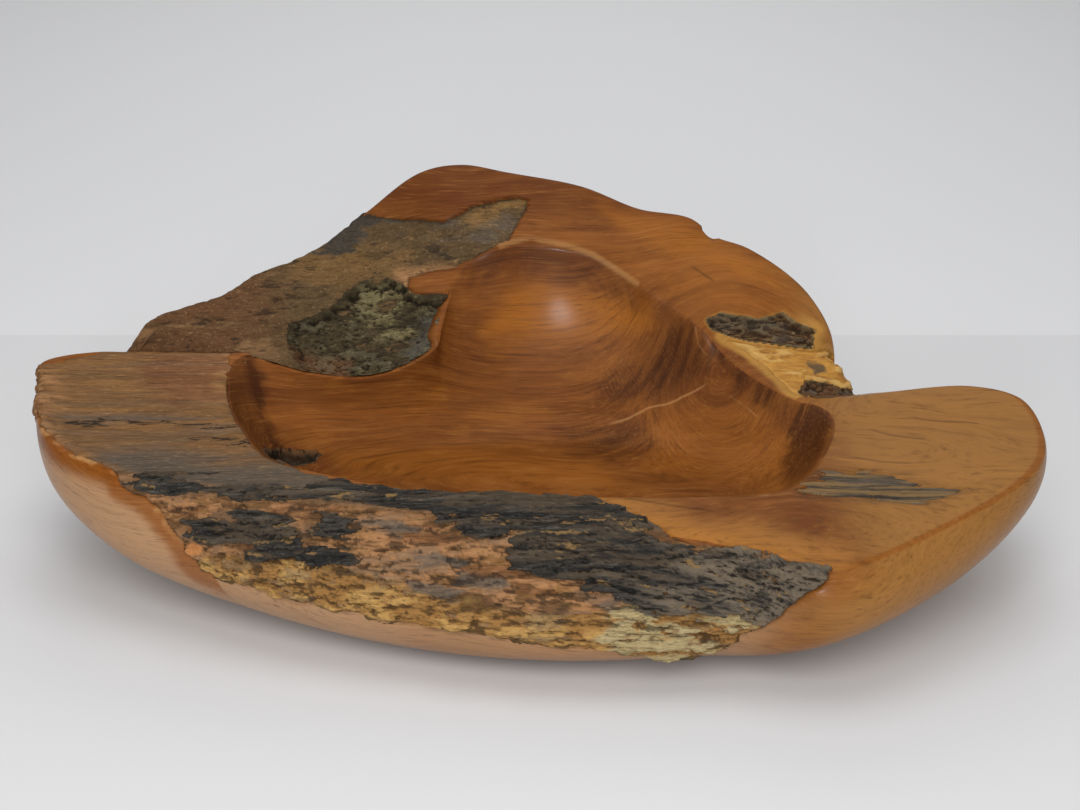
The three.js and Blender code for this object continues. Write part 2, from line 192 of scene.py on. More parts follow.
OCHRE_LINE = [
    (100, 540), (196, 556), (246, 556), (284, 556), (340, 563), (396, 582), (450, 598), (531, 610),
    (600, 612), (860, 612),
]
ORANGE_DOT = [(184, 546), (194, 542), (205, 547), (203, 554), (190, 555)]
WING_OLIVE = [(280, 268), (320, 252), (360, 247), (402, 250), (404, 267), (345, 284)]
WING_BLUE = [(310, 254), (345, 228), (372, 214), (392, 218), (375, 232), (360, 247)]
WING_STREAK = [(465, 219), (512, 198), (524, 202), (500, 216), (475, 224)]
SCAR_FLECKS = [(352, 296), (385, 284), (402, 292), (410, 318), (398, 334), (376, 322)]
SCAR_RED = [(292, 346), (320, 352), (352, 362), (345, 374), (300, 368)]
SCAR_BLUE = [(418, 322), (446, 312), (446, 334), (432, 350), (412, 352)]

# Marks on the polished wood and on the left deck, in pixels of the photograph
SWIRL = [
    (666, 318), (692, 316), (708, 336), (722, 361), (704, 384), (656, 404), (622, 410), (596, 398),
    (594, 380), (624, 360), (650, 342),
]
# Painted shade below the knot, on a patch of the floor, on the steep left end wall and under the lip
KNOT_SHADE = [
    (706, 330), (734, 347), (757, 370), (774, 392), (800, 404), (822, 405), (832, 424), (820, 456),
    (802, 474), (786, 482), (790, 440), (772, 410), (738, 384), (714, 356),
]
FLOOR_SHADE = [(556, 426), (600, 420), (640, 424), (650, 446), (610, 458), (570, 446)]
LEFT_WALL_SHADE = [(226, 360), (246, 352), (262, 380), (262, 420), (282, 452), (262, 455), (236, 422), (226, 388)]
UNDER_LIP_SHADE = [
    (452, 272), (480, 254), (530, 241), (590, 262), (640, 294), (672, 318), (650, 330), (612, 300),
    (560, 278), (510, 276), (470, 292),
]
# Painted glow: the halo round the scoop's highlight, and lit patches of the floor, crest and back band
SCOOP_GLOW = [(486, 330), (512, 298), (545, 288), (600, 298), (640, 306), (646, 322), (600, 334), (545, 336)]
FLOOR_GLOW = [(650, 422), (730, 404), (792, 428), (806, 452), (772, 488), (640, 486)]
FRONT_FLOOR_GLOW = [(330, 452), (460, 440), (600, 462), (620, 490), (440, 486), (340, 474)]
LEFT_GLOW = [(290, 388), (360, 384), (450, 372), (500, 392), (420, 420), (300, 420)]
CREST_GLOW = [(600, 205), (680, 222), (760, 268), (780, 290), (700, 262), (620, 232)]
BAND_GLOW = [(540, 232), (620, 246), (700, 276), (790, 300), (800, 320), (720, 306), (650, 280), (580, 246)]
# Painted highlight along the lip of the scoop
RIM_LIP_HIGHLIGHT = [(500, 245), (532, 237), (560, 243), (592, 254), (622, 273), (636, 283)]
CREASE_LINE = [(710, 383), (694, 391), (680, 396), (664, 404), (649, 408), (628, 418), (605, 426)]
SCOOP_EYE = (555, 314)
SECOND_CREASE = [(727, 393), (746, 407), (761, 420)]
VALLEY_LINE = [(696, 326), (699, 345), (708, 357)]
TONGUE = [(398, 270), (452, 268), (452, 296), (404, 294)]
BAND_CRACK = [(689, 264), (702, 273), (714, 281)]
# Painted highlight along the front rim of the hollow
FRONT_RIM_HIGHLIGHT = [(560, 494), (640, 495), (700, 495), (768, 495)]
DECK_CRACKS = (
    [(70, 421), (110, 419), (160, 420), (215, 423), (250, 428)],
    [(150, 470), (185, 472), (222, 474)],
    [(196, 438), (240, 440), (262, 446)],
)
DECK_STEP = [(42, 409), (100, 407), (170, 409), (236, 413)]
DECK_RED = [(150, 356), (232, 352), (228, 392), (180, 402), (140, 385)]
WING_FOLD = [(140, 352), (150, 336), (164, 322)]
CREST_NOTCH = [(706, 228), (714, 238)]
HULL_CRACK = [(256, 613), (275, 619), (292, 624), (308, 627)]
DECK_FIBRES = (
    [(868, 430), (892, 436), (930, 440)], [(905, 417), (940, 421), (985, 426)],
    [(850, 456), (880, 461), (915, 463)], [(620, 498), (668, 506), (720, 514)],
)

# Shades and glows of the polished wood: outline, strength, and the pixels inside it from start to full
# The swirl is dark figure of the wood; the other outlines are painted shade
FIGURE_AND_SHADE = (
    (SWIRL, 0.85, -18, 24),
    (KNOT_SHADE, 0.8, -14, 6),
    (FLOOR_SHADE, 0.7, -26, 14),
    (LEFT_WALL_SHADE, 1.0, -12, 6),
    (UNDER_LIP_SHADE, 0.45, -14, 12),
)
# Painted glows of light in the hollow, and below them on the back band and crest
HOLLOW_GLOWS = (
    (SCOOP_GLOW, 0.9, -24, 14),
    (FLOOR_GLOW, 0.4, -24, 20),
    (FRONT_FLOOR_GLOW, 0.5, -24, 20),
    (LEFT_GLOW, 0.28, -24, 14),
)
DECK_GLOWS = ((BAND_GLOW, 0.3, -16, 8), (CREST_GLOW, 0.5, -16, 8))

# Creases and cracks of the polished wood, each with its strength
CREASES = ((CREASE_LINE, 0.42), (SECOND_CREASE, 0.25), (VALLEY_LINE, 0.3))
CRACKS = ((HULL_CRACK, 0.9), (BAND_CRACK, 0.4), *((line, 0.35) for line in DECK_FIBRES))

# Pixels across, down or aslant over which a tone comes in, or for an end goes out
RIGHT_OF_POCKET = (785, 815)
DECK_STEP_END = (215, 255)
FRONT_DECK = (396, 446)
FRONT_DECK_SLANT = 0.05
GREY_BARK = (1060, 1210)
GREY_BARK_SLANT = 0.8
WING_LEFT = (330, 230)
WING_RIGHT = (370, 430)

# A pixel for points that the camera can't see, and a distance for points where a tissue never grew
OUT_OF_SIGHT = -500
NOWHERE = -99

# Millimetres to the right in the carver's frame, or above the table, over which a tone comes in,
# or for an end goes out
LIGHT_RIGHT = (120, 185)
RED_LEFT = (60, -60)
SHEEN_LEFT = (60, -140)
DULL_LEFT = (-40, -90)
UNDER_RIND_END = (90, 140)
RED_CREST = (150, 172)

# Ribs and levels that a mark on the polished wood keeps to, or over which it comes in
HOLLOW_TOP = 1.02
FRONT_DECK_RIBS = (32.4, 35.4)
UNDER_RIND_RIBS = (29, 35.3)
LEFT_END_RIBS = (26.5, 31)
LEFT_END_LEVEL = 1.85
BEHIND_DECK_RIBS = (20, 25.5)
NOTCH_RIBS = (8, 12)
NOTCH_LEVELS = (1.8, 2.3)
KEEN_EDGE_LEVEL = 1.985
KEEN_EDGE_WIDTH = (0.008, 0.03)
KEEN_EDGE_START = (34.6, 35.6)
KEEN_EDGE_END = (2.4, 3.4)
LIP_START = (0.93, 0.97)
LIP_END = (1.05, 1.12)
FRONT_RIM_LEVEL = 0.98
LIGHT_HULL = (2.02, 2.2)
SHEEN_HULL = (2.0, 2.1)

# Levels where the rind turns from the deck to the face, meets the hull, and steps down below the crest
FACE_LEVELS = (1.8, 2.1)
CONTACT_LEVELS = (2.05, 2.2)
WING_STEP = (1.72, 1.97)
WING_SEAT_END = 2.07
CREST_BACK_RIB = 16
CREST_BACK_LEVEL = 1.9

# Scabs of bark on the front: node, outline, ribs, levels, how far each stands proud, and its seed
SCABS = (
    ("front_bark_band", FRONT_BAND, (28.6, 34.2), (1.1, 2.15), 1.3, 101),
    ("front_bark_mass", FRONT_MASS, (31.8, 35.1), (1.4, 2.5), 1.5, 121),
    ("front_bark_scab_left", FRONT_SCAB, (29.6, 32.2), (1.9, 2.4), 1.5, 141),
    ("front_bark_scab_small", FRONT_SCAB_SMALL, (30.9, 32.3), (1.9, 2.3), 1.4, 161),
)

# Fibres of bark run downhill from this place to the right
BARK_TILT_START = 30
BARK_TILT = np.array([0, 0, 0.22])


# Share from 0 at the first value to 1 at the second, easing in and out
def fade(value, low, high):
    share = np.clip((value - low) / (high - low), 0, 1)
    return share * share * (3 - 2 * share)


def lerp(first, second, share):
    return first + (second - first) * share


def between(value, span):
    return (value > span[0]) & (value < span[1])


# Random heights on a lattice, the same on every run
def lattice(x, y, z, seed):
    mixed = x * 374761393 + y * 668265263 + z * 1440662683 + seed * 974634777
    mixed = (mixed ^ (mixed >> 13)) & 0xFFFFFFFF
    mixed = (mixed * 1274126177) & 0xFFFFFFFF
    return ((mixed ^ (mixed >> 16)) & 0xFFFF) / 0xFFFF


def grit(points, seed):
    cell = np.floor(points)
    part = points - cell
    part = part * part * (3 - 2 * part)
    cell = cell.astype(np.int64)
    total = np.zeros(len(points))
    for corner in range(8):
        step = np.array([corner & 1, corner >> 1 & 1, corner >> 2])
        weight = np.prod(np.where(step == 1, part, 1 - part), axis=1)
        total += weight * lattice(*(cell + step).T, seed)
    return total


# Rough height about zero, with lumps of the given size in millimetres; more gain makes it more ragged
def rough(points, size, seed, layers=4, gain=0.5):
    scaled = points / np.array(size, float)
    total = np.zeros(len(points))
    for layer in range(layers):
        total += gain ** layer * (grit(scaled * 2 ** layer + 13.7 * layer, seed + layer) - 0.5)
    return total


# Root of the distance between two rows of points, which keeps a curve through them from looping
def curve_step(first, second):
    return np.sqrt(np.linalg.norm(second - first, axis=1))[:, None]


# Closed curve through the same place on every rib
def run(points, rib):
    points = np.asarray(points, float)
    before = np.floor(rib).astype(int)
    share = (rib - before)[:, None]
    p0, p1, p2, p3 = (points[(before + k) % RIB_COUNT] for k in (-1, 0, 1, 2))
    d0, d1, d2 = (curve_step(*ends) for ends in ((p0, p1), (p1, p2), (p2, p3)))
    out = ((p1 - p0) / d0 - (p2 - p0) / (d0 + d1) + (p2 - p1) / d1) * d1
    into = ((p2 - p1) / d1 - (p3 - p1) / (d1 + d2) + (p3 - p2) / d2) * d1
    bend = -3 * p1 + 3 * p2 - 2 * out - into
    twist = 2 * p1 - 2 * p2 + out + into
    return p1 + out * share + bend * share ** 2 + twist * share ** 3


RIMS = np.array([rib[0] for rib in RIBS], float)
EDGES = np.array([rib[1] for rib in RIBS], float)
BELLY_SWELL = np.array([rib[2] for rib in RIBS], float)[:, None]
FLAT = np.array([1.0, 1.0, 0.0])
edge_reach = (EDGES - SOLE_CENTRE)[:, :2] / SOLE_HALF
edge_turn = np.arctan2(edge_reach[:, 1], edge_reach[:, 0])
SOLES = SOLE_CENTRE + np.stack(
    [SOLE_HALF[0] * np.cos(edge_turn), SOLE_HALF[1] * np.sin(edge_turn), 0 * edge_turn], axis=1)
OUTWARD = (EDGES - FLOOR) * FLAT
OUTWARD = OUTWARD / np.linalg.norm(OUTWARD, axis=1)[:, None]
BELLIES = EDGES * np.array([1, 1, BELLY_HEIGHT]) + OUTWARD * BELLY_SWELL
HEELS = lerp(SOLES, EDGES * FLAT, HEEL_REACH) + OUTWARD * HEEL_FULLNESS * BELLY_SWELL

# Distance along the rim, which spreads the bearings of the floor oval
RIM_SAMPLES = 760
rim_steps = np.linspace(0, RIB_COUNT, RIM_SAMPLES + 1)
rim_path = run(RIMS, rim_steps)
rim_lengths = np.concatenate([[0], np.cumsum(np.linalg.norm(np.diff(rim_path, axis=0), axis=1))])


# The rim with its bumps averaged out, which the walls of the hollow follow lower down
def averaged_rim():
    even = np.linspace(0, rim_lengths[-1], RIM_SAMPLES, endpoint=False)
    soft = np.stack([np.interp(even, rim_lengths, rim_path[:, axis]) for axis in range(3)], axis=1)
    for _ in range(AVERAGE_PASSES):
        shifted = [np.roll(soft, step, axis=0) for step in range(-RIM_AVERAGE, RIM_AVERAGE + 1)]
        soft = np.mean(shifted, axis=0)
    return np.vstack([soft, soft[:1]])


soft_rim = averaged_rim()


# Levels run from 0 in the middle of the floor to 1 at the rim, 2 at the outer edge and 3 at the sole
class RibLines:
    """The runs at a list of ribs, from which any point of the skin follows"""

    def __init__(self, rib):
        rib = np.mod(rib, RIB_COUNT)
        self.rim = run(RIMS, rib)
        self.edge = run(EDGES, rib)
        self.belly = run(BELLIES, rib)
        self.heel = run(HEELS, rib)
        self.sole = run(SOLES, rib)
        share = np.interp(rib, rim_steps, rim_lengths) / rim_lengths[-1]
        steps = np.arange(RIM_SAMPLES + 1) / RIM_SAMPLES
        self.soft = np.stack([np.interp(share, steps, soft_rim[:, axis]) for axis in range(3)], axis=1)
        turn = FLOOR_START_TURN + 2 * np.pi * share
        self.oval = np.stack([FLOOR_HALF[0] * np.cos(turn), FLOOR_HALF[1] * np.sin(turn), 0 * turn], axis=1)
        crisp = np.zeros(len(rib))
        for start, end in CRISP_RIBS:
            for place in (rib, rib + RIB_COUNT):
                inside = np.minimum(place - start, end - place)
                crisp = np.maximum(crisp, np.clip(inside / CRISP_FADE, 0, 1))
        self.edge_ease = lerp(EDGE_EASE, CRISP_EASE, crisp)
        high = fade(self.soft[:, 2], LOW_RIM, HIGH_RIM)
        lip = high * fade(self.soft[:, 0], LIP_LEFT_END, LIP_FULL)
        self.scoop = lerp(STEEP_SCOOP, GENTLE_SCOOP, high)
        self.undercut = LIP_UNDERCUT * lip[:, None]

    def sharp(self, level):
        inner = np.clip(level, 0, 1)[:, None]
        rim = lerp(self.soft, self.rim, inner ** RIM_CLOSENESS)
        reach = lerp(self.oval, (rim - FLOOR) * FLAT, inner ** FLOOR_ROUNDNESS)
        climb = np.clip((inner[:, 0] - FLOOR_FLAT) / (1 - FLOOR_FLAT), 0, 1) ** self.scoop
        hollow = FLOOR + reach * (inner + self.undercut * inner ** LIP_CLOSENESS * (1 - inner))
        hollow[:, 2] += (rim[:, 2] - FLOOR[2]) * climb
        deck = lerp(self.rim, self.edge, np.clip(level - 1, 0, 1)[:, None])
        down = np.clip(level - 2, 0, 1)[:, None]
        up = 1 - down
        outside = up ** 3 * self.edge + 3 * up * up * down * self.belly
        outside += 3 * up * down * down * self.heel + down ** 3 * self.sole
        return np.where(level[:, None] <= 1, hollow, np.where(level[:, None] <= 2, deck, outside))

    # The skin with its rim and edge rounded over
    def skin(self, level):
        def at(place):
            return self.sharp(np.full(len(level), place))

        deck = np.linalg.norm(self.rim - self.edge, axis=1)
        hollow = np.linalg.norm(at(1) - at(1 - SLOPE_SPAN), axis=1) / SLOPE_SPAN
        outside = np.linalg.norm(at(2 + SLOPE_SPAN) - at(2), axis=1) / SLOPE_SPAN
        points = self.sharp(level)
        for corner, ease, inside, beyond in ((1, RIM_EASE, hollow, deck), (2, self.edge_ease, deck, outside)):
            start = corner - np.minimum(ease / inside, MOST_EASE)
            end = corner + np.minimum(ease / beyond, MOST_EASE)
            share = np.clip((level - start) / (end - start), 0, 1)[:, None]
            rounded = (1 - share) ** 2 * self.sharp(start) + 2 * share * (1 - share) * at(corner)
            rounded += share ** 2 * self.sharp(end)
            points = np.where(((level > start) & (level < end))[:, None], rounded, points)
        return points


# A pixel of the photograph for each point of the skin
def photo_pixels(points):
    away = points - EYE
    depth = away @ FORWARD
    across = PHOTO_WIDTH / 2 + FOCAL_PIXELS * away[:, 0] / depth
    down = PHOTO_HEIGHT / 2 - FOCAL_PIXELS * (away @ UPWARD) / depth
    return np.stack([across, down], axis=1)


# Pixels beyond which a thin line doesn't show
FAR_FROM_LINE = 9


# Distance in pixels to a line
def line_distance(pixels, line):
    line = np.asarray(line, float)
    nearest = np.full(len(pixels), np.inf)
    for start, end in zip(line[:-1], line[1:]):
        step = end - start
        share = np.clip(((pixels - start) @ step) / (step @ step), 0, 1)
        nearest = np.minimum(nearest, np.linalg.norm(pixels - start - share[:, None] * step, axis=1))
    return nearest


# Distance to the nearest of some lines, with opposite signs on their two sides, and how strong that line is
# there: nothing beyond its ends or far from it
def beside_lines(pixels, lines):
    nearest = np.full(len(pixels), FAR_FROM_LINE)
    side = np.ones(len(pixels))
    strength = np.zeros(len(pixels))
    for line, most in lines:
        line = np.asarray(line, float)
        chord = line[-1] - line[0]
        along = ((pixels - line[0]) @ chord) / (chord @ chord)
        ends = fade(along, 0.0, 0.12) * (1 - fade(along, 0.88, 1.0))
        for start, end in zip(line[:-1], line[1:]):
            step = end - start
            away = pixels - start
            share = np.clip((away @ step) / (step @ step), 0, 1)
            gap = np.linalg.norm(away - share[:, None] * step, axis=1)
            closer = gap < nearest
            nearest = np.where(closer, gap, nearest)
            side = np.where(closer, np.where(step[0] * away[:, 1] > step[1] * away[:, 0], 1, -1), side)
            strength = np.where(closer, most * ends, strength)
    return side * nearest, strength * (1 - fade(nearest, FAR_FROM_LINE / 2, FAR_FROM_LINE))


# Distance in pixels to a closed outline, positive inside it
def outline_distance(pixels, outline):
    outline = np.asarray(outline, float)
    nearest = line_distance(pixels, np.vstack([outline, outline[:1]]))
    inside = np.zeros(len(pixels), bool)
    for start, end in zip(outline, np.roll(outline, -1, axis=0)):
        if start[1] == end[1]:
            continue
        crossing = (pixels[:, 1] - start[1]) / (end[1] - start[1])
        spans = (crossing >= 0) & (crossing < 1) if start[1] < end[1] else (crossing > 0) & (crossing <= 1)
        inside ^= spans & (pixels[:, 0] < start[0] + crossing * (end[0] - start[0]))
    return np.where(inside, nearest, -nearest)


# Pixels shifted by rough noise along and across the fibres, which tears the outline of a mark
def torn(points, pixels, along, across, seed):
    shift = np.stack([
        along * rough(points, (46, 6, 6), seed, 5, 0.6),
        across * rough(points, (24, 6, 6), seed + 50, 5, 0.6),
    ], axis=1)
    return pixels + shift


# How much of a mark lies at each pixel, coming in from the first distance to the second
def within(pixels, outline, out, into):
    return fade(outline_distance(pixels, outline), out, into)


# How much of a line lies at each pixel, full to the first distance and gone at the second
def along_line(pixels, line, core, edge):
    return 1 - fade(line_distance(pixels, line), core, edge)


# How far each pixel lies below a line drawn across the photograph
def below_line(pixels, line):
    return pixels[:, 1] - np.interp(pixels[:, 0], *np.array(line, float).T)


# How often heights are averaged to find the recesses that get painted shade
SUNKEN_PASSES = 12


class Patch:
    """A grid laid on the skin, with its normals and the pixel each point falls on"""

    def __init__(self, columns, rows):
        level, rib = np.meshgrid(rows, columns, indexing="ij")
        self.shape = rib.shape
        self.rib = rib.ravel()
        self.level = level.ravel()
        self.points = RibLines(self.rib).skin(self.level)
        self.pixels = photo_pixels(self.points)
        grid = self.points.reshape(*self.shape, 3)
        normals = np.cross(np.gradient(grid, axis=0), np.gradient(grid, axis=1)).reshape(-1, 3)
        self.normals = normals / np.maximum(np.linalg.norm(normals, axis=1), 1e-9)[:, None]

    def facing(self):
        return np.sum(self.normals * (EYE - self.points), axis=1) > 0

    def quads(self):
        index = np.arange(self.shape[0] * self.shape[1]).reshape(self.shape)
        corners = [index[:-1, :-1], index[1:, :-1], index[1:, 1:], index[:-1, 1:]]
        return np.stack(corners, axis=-1).reshape(-1, 4)

    # Heights averaged with their neighbours
    def levelled(self, height, passes):
        grid = height.reshape(self.shape)
        for _ in range(passes):
            wide = np.pad(grid, 1, mode="edge")
            grid = (wide[:-2, 1:-1] + wide[2:, 1:-1] + wide[1:-1, :-2] + wide[1:-1, 2:]) / 4
        return grid.ravel()

    # How far each point lies below its averaged neighbours, which is darkened as painted shade
    def recess_shade(self, height, least, most):
        return fade(self.levelled(height, SUNKEN_PASSES) - height, least, most)

    # Quads whose four corners are kept, with a skirt that runs down into the wood all round
    def cut(self, keep, height, skirt):
        quads = self.quads()
        quads = quads[keep[quads].all(axis=1)]
        used = np.unique(quads)
        place = np.full(len(self.points), -1)
        place[used] = np.arange(len(used))
        quads = place[quads]
        top = self.points[used] + self.normals[used] * height[used, None]
        sides = np.concatenate([quads[:, [k, (k + 1) % 4]] for k in range(4)])
        key = sides[:, 0] * len(used) + sides[:, 1]
        back = sides[:, 1] * len(used) + sides[:, 0]
        border = sides[~np.isin(key, back)]
        rim = np.unique(border)
        low = np.full(len(used), -1)
        low[rim] = len(used) + np.arange(len(rim))
        bottom = top[rim] - self.normals[used][rim] * skirt
        walls = np.stack([border[:, 1], border[:, 0], low[border[:, 0]], low[border[:, 1]]], axis=1)
        return np.vstack([top, bottom]), np.vstack([quads, walls]), np.concatenate([used, used[rim]])


def path_length(path):
    return np.concatenate([[0], np.cumsum(np.linalg.norm(np.diff(path, axis=0), axis=1))])


# Steps at which paths on the skin are measured: along a patch, up a patch and all round the bowl
FINE_COLUMNS = 400
FINE_ROWS = 200
FINE_ROUND = 2000


# A patch between two ribs and two levels, its grid about evenly spaced
def patch_between(ribs, levels, spacing):
    fine = np.linspace(*ribs, FINE_COLUMNS)
    length = path_length(RibLines(fine).skin(np.full(FINE_COLUMNS, sum(levels) / 2)))
    columns = np.interp(np.arange(0, length[-1], spacing), length, fine)
    fine_levels = np.linspace(*levels, FINE_ROWS)
    height = path_length(RibLines(np.full(FINE_ROWS, sum(ribs) / 2)).skin(fine_levels))
    return Patch(columns, np.interp(np.arange(0, height[-1], spacing), height, fine_levels))


# A mesh in its place, with its painted fields and its finish
def make_piece(name, points, quads, fields, material, triangles=None):
    mesh = bpy.data.meshes.new(name)
    placed = (points - MIDDLE) / METRE
    triangles = np.zeros((0, 3), int) if triangles is None else triangles
    loops = np.concatenate([quads.ravel(), triangles.ravel()])
    sizes = np.concatenate([np.full(len(quads), 4), np.full(len(triangles), 3)])
    starts = np.concatenate([[0], np.cumsum(sizes)[:-1]])
    mesh.vertices.add(len(placed))
    mesh.loops.add(len(loops))
    mesh.polygons.add(len(sizes))
    mesh.vertices.foreach_set("co", placed.astype(np.float32).ravel())
    mesh.loops.foreach_set("vertex_index", loops.astype(np.int32))
    mesh.polygons.foreach_set("loop_start", starts.astype(np.int32))
    mesh.polygons.foreach_set("loop_total", sizes.astype(np.int32))
    mesh.update(calc_edges=True)
    mesh.validate()
    mesh.polygons.foreach_set("use_smooth", np.ones(len(mesh.polygons), bool))
    for field, values in fields.items():
        kind = "FLOAT_VECTOR" if values.ndim == 2 else "FLOAT"
        attribute = mesh.attributes.new(field, kind, "POINT")
        slot = "vector" if values.ndim == 2 else "value"
        attribute.data.foreach_set(slot, values.astype(np.float32).ravel())
    mesh.materials.append(material)
    piece = bpy.data.objects.new(name, mesh)
    bpy.context.scene.collection.objects.link(piece)
    return piece


# Stand a finished piece in for its CAD node
def fit(piece, node):
    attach(piece, "root")
    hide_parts(node)


# Cut a piece out of its patch, carrying its painted fields along
def cut_piece(name, patch, keep, height, skirt, fields, material):
    points, quads, used = patch.cut(keep, height, skirt)
    fields = {field: values[used] for field, values in fields.items()}
    return make_piece(name, points, quads, fields, material)


# A colour written in hex, as linear light
def paint(text):
    channels = [int(text[k:k + 2], 16) / 255 for k in (1, 3, 5)]
    linear = [c / 12.92 if c <= 0.04045 else ((c + 0.055) / 1.055) ** 2.4 for c in channels]
    return (*linear, 1.0)


# Add a node with its settings and links
def add(tree, kind, inputs=None, **settings):
    made = tree.nodes.new(kind)
    for name, value in settings.items():
        setattr(made, name, value)
    for key, value in (inputs or {}).items():
        if isinstance(value, bpy.types.NodeSocket):
            tree.links.new(value, made.inputs[key])
        else:
            made.inputs[key].default_value = value
    return made


# A bare material with its shader
def new_finish(name, **sockets):
    material = bpy.data.materials.new(name)
    material.use_nodes = True
    tree = material.node_tree
    tree.nodes.clear()
    values = {key.replace("_", " "): value for key, value in sockets.items()}
    shader = add(tree, "ShaderNodeBsdfPrincipled", values)
    add(tree, "ShaderNodeOutputMaterial", {"Surface": shader.outputs["BSDF"]})
    return material, tree, shader


# Lumps of a real size in millimetres, over the object or over a painted grain
def lumps(tree, size, grain=None, detail=4.0, ragged=0.5):
    if grain is None:
        place = add(tree, "ShaderNodeTexCoord").outputs["Object"]
        scale = tuple(METRE / length for length in size)
    else:
        place = add(tree, "ShaderNodeAttribute", attribute_name=grain).outputs["Vector"]
        scale = tuple(1 / length for length in size)
    stretched = add(tree, "ShaderNodeMapping", {"Vector": place, "Scale": scale}).outputs["Vector"]
    noise = {"Vector": stretched, "Scale": 1.0, "Detail": detail, "Roughness": ragged}
    return add(tree, "ShaderNodeTexNoise", noise).outputs["Fac"]


# Colours laid over one another. Each coat names a painted field or a pattern, the values between which it
# comes in, how strong it gets and its colour; its strength may be a field too
def coats(tree, ground, layers):
    colour = paint(ground)
    for source, low, high, most, coat in layers:
        if isinstance(source, str):
            source = add(tree, "ShaderNodeAttribute", attribute_name=source).outputs["Fac"]
        if isinstance(most, str):
            most = add(tree, "ShaderNodeAttribute", attribute_name=most).outputs["Fac"]
        share = {"Value": source, "From Min": low, "From Max": high, "To Max": most}
        factor = add(tree, "ShaderNodeMapRange", share, interpolation_type="SMOOTHSTEP").outputs["Result"]
        mix = add(tree, "ShaderNodeMix", {0: factor, 6: colour, 7: paint(coat)}, data_type="RGBA")
        colour = mix.outputs[2]
    return colour


# Give a finish its colour and the small relief of its surface
def surface(tree, shader, colour, height, depth, strength):
    tree.links.new(colour, shader.inputs["Base Color"])
    relief = {"Strength": strength, "Distance": depth / METRE, "Height": height}
    tree.links.new(add(tree, "ShaderNodeBump", relief).outputs["Normal"], shader.inputs["Normal"])


# Root teak, carved, sanded and oiled: red-brown and golden figure under a satin sheen. Its pores are drawn
# coarser than real ones, so that they show
def oiled_teak():
    material, tree, shader = new_finish("oiled_root_teak", Specular_IOR_Level=0.16, Coat_Roughness=0.16)
    figure = lumps(tree, (120, 13, 30), "grain", detail=6, ragged=0.6)
    clouds = lumps(tree, (70, 40, 40), detail=6, ragged=0.55)
    lines = lumps(tree, (80, 2.4, 12), "grain", detail=6, ragged=0.65)
    pores = lumps(tree, (24, 1.0, 2.0), "grain", detail=4, ragged=0.7)
    bands = lumps(tree, (260, 20, 34), "grain", detail=5, ragged=0.55)
    mottle = lumps(tree, (26, 9, 9), detail=8, ragged=0.66)
    beside = {}
    for line in ("crease", "crack"):
        signed = add(tree, "ShaderNodeAttribute", attribute_name=line).outputs["Fac"]
        beside[line] = add(tree, "ShaderNodeMath", {0: signed}, operation="ABSOLUTE").outputs[0]
    colour = coats(tree, "#824c20", [
        (figure, 0.4, 0.68, 0.75, "#613415"),
        (clouds, 0.46, 0.7, 0.55, "#985e26"),
        (clouds, 0.46, 0.3, 0.45, "#693817"),
        (bands, 0.5, 0.66, 0.5, "#5f3314"),
        (mottle, 0.5, 0.7, 0.4, "#5f3515"),
        (mottle, 0.48, 0.3, 0.35, "#9c6428"),
        ("red", 0, 1, 0.7, "#5c3014"),
        ("light", 0, 1, 0.75, "#a27238"),
        # Painted sheen of reflected light on the hull, and painted glow on the scoop, floor, band and crest
        ("hull_sheen", 0, 1, 0.86, "#b28c69"),
        ("painted_glow", 0, 1, 0.8, "#a8651f"),
        ("sap", 0, 1, 0.85, "#b3843f"),
        (lines, 0.5, 0.74, "figured", "#4a2710"),
        (lines, 0.46, 0.28, 0.25, "#a87038"),
        # Dark figure, with painted shade in the hollow
        ("dark", 0, 1, 0.85, "#361a0c"),
        ("streak", 0, 1, 0.8, "#3f2f22"),
        ("burnt", 0, 1, 0.8, "#84480f"),
        # Pale wood, with painted highlights along the rims
        ("pale", 0, 1, 0.85, "#cb9a60"),
        (pores, 0.5, 0.74, 0.5, "#3d1f0c"),
        (pores, 0.48, 0.26, 0.35, "#b07a40"),
        (beside["crease"], 1.7, 0.2, "creased", "#c08c58"),
        (beside["crack"], 1.6, 0.3, "cracked", "#1d1008"),
    ])
    surface(tree, shader, colour, lines, 0.35, 0.1)
    dull = add(tree, "ShaderNodeAttribute", attribute_name="dull").outputs["Fac"]
    roughness = add(tree, "ShaderNodeMapRange", {"Value": dull, "To Min": 0.38, "To Max": 0.6})
    tree.links.new(roughness.outputs["Result"], shader.inputs["Roughness"])
    oil = add(tree, "ShaderNodeMapRange", {"Value": dull, "To Min": 0.16, "To Max": 0.0})
    tree.links.new(oil.outputs["Result"], shader.inputs["Coat Weight"])
    return material


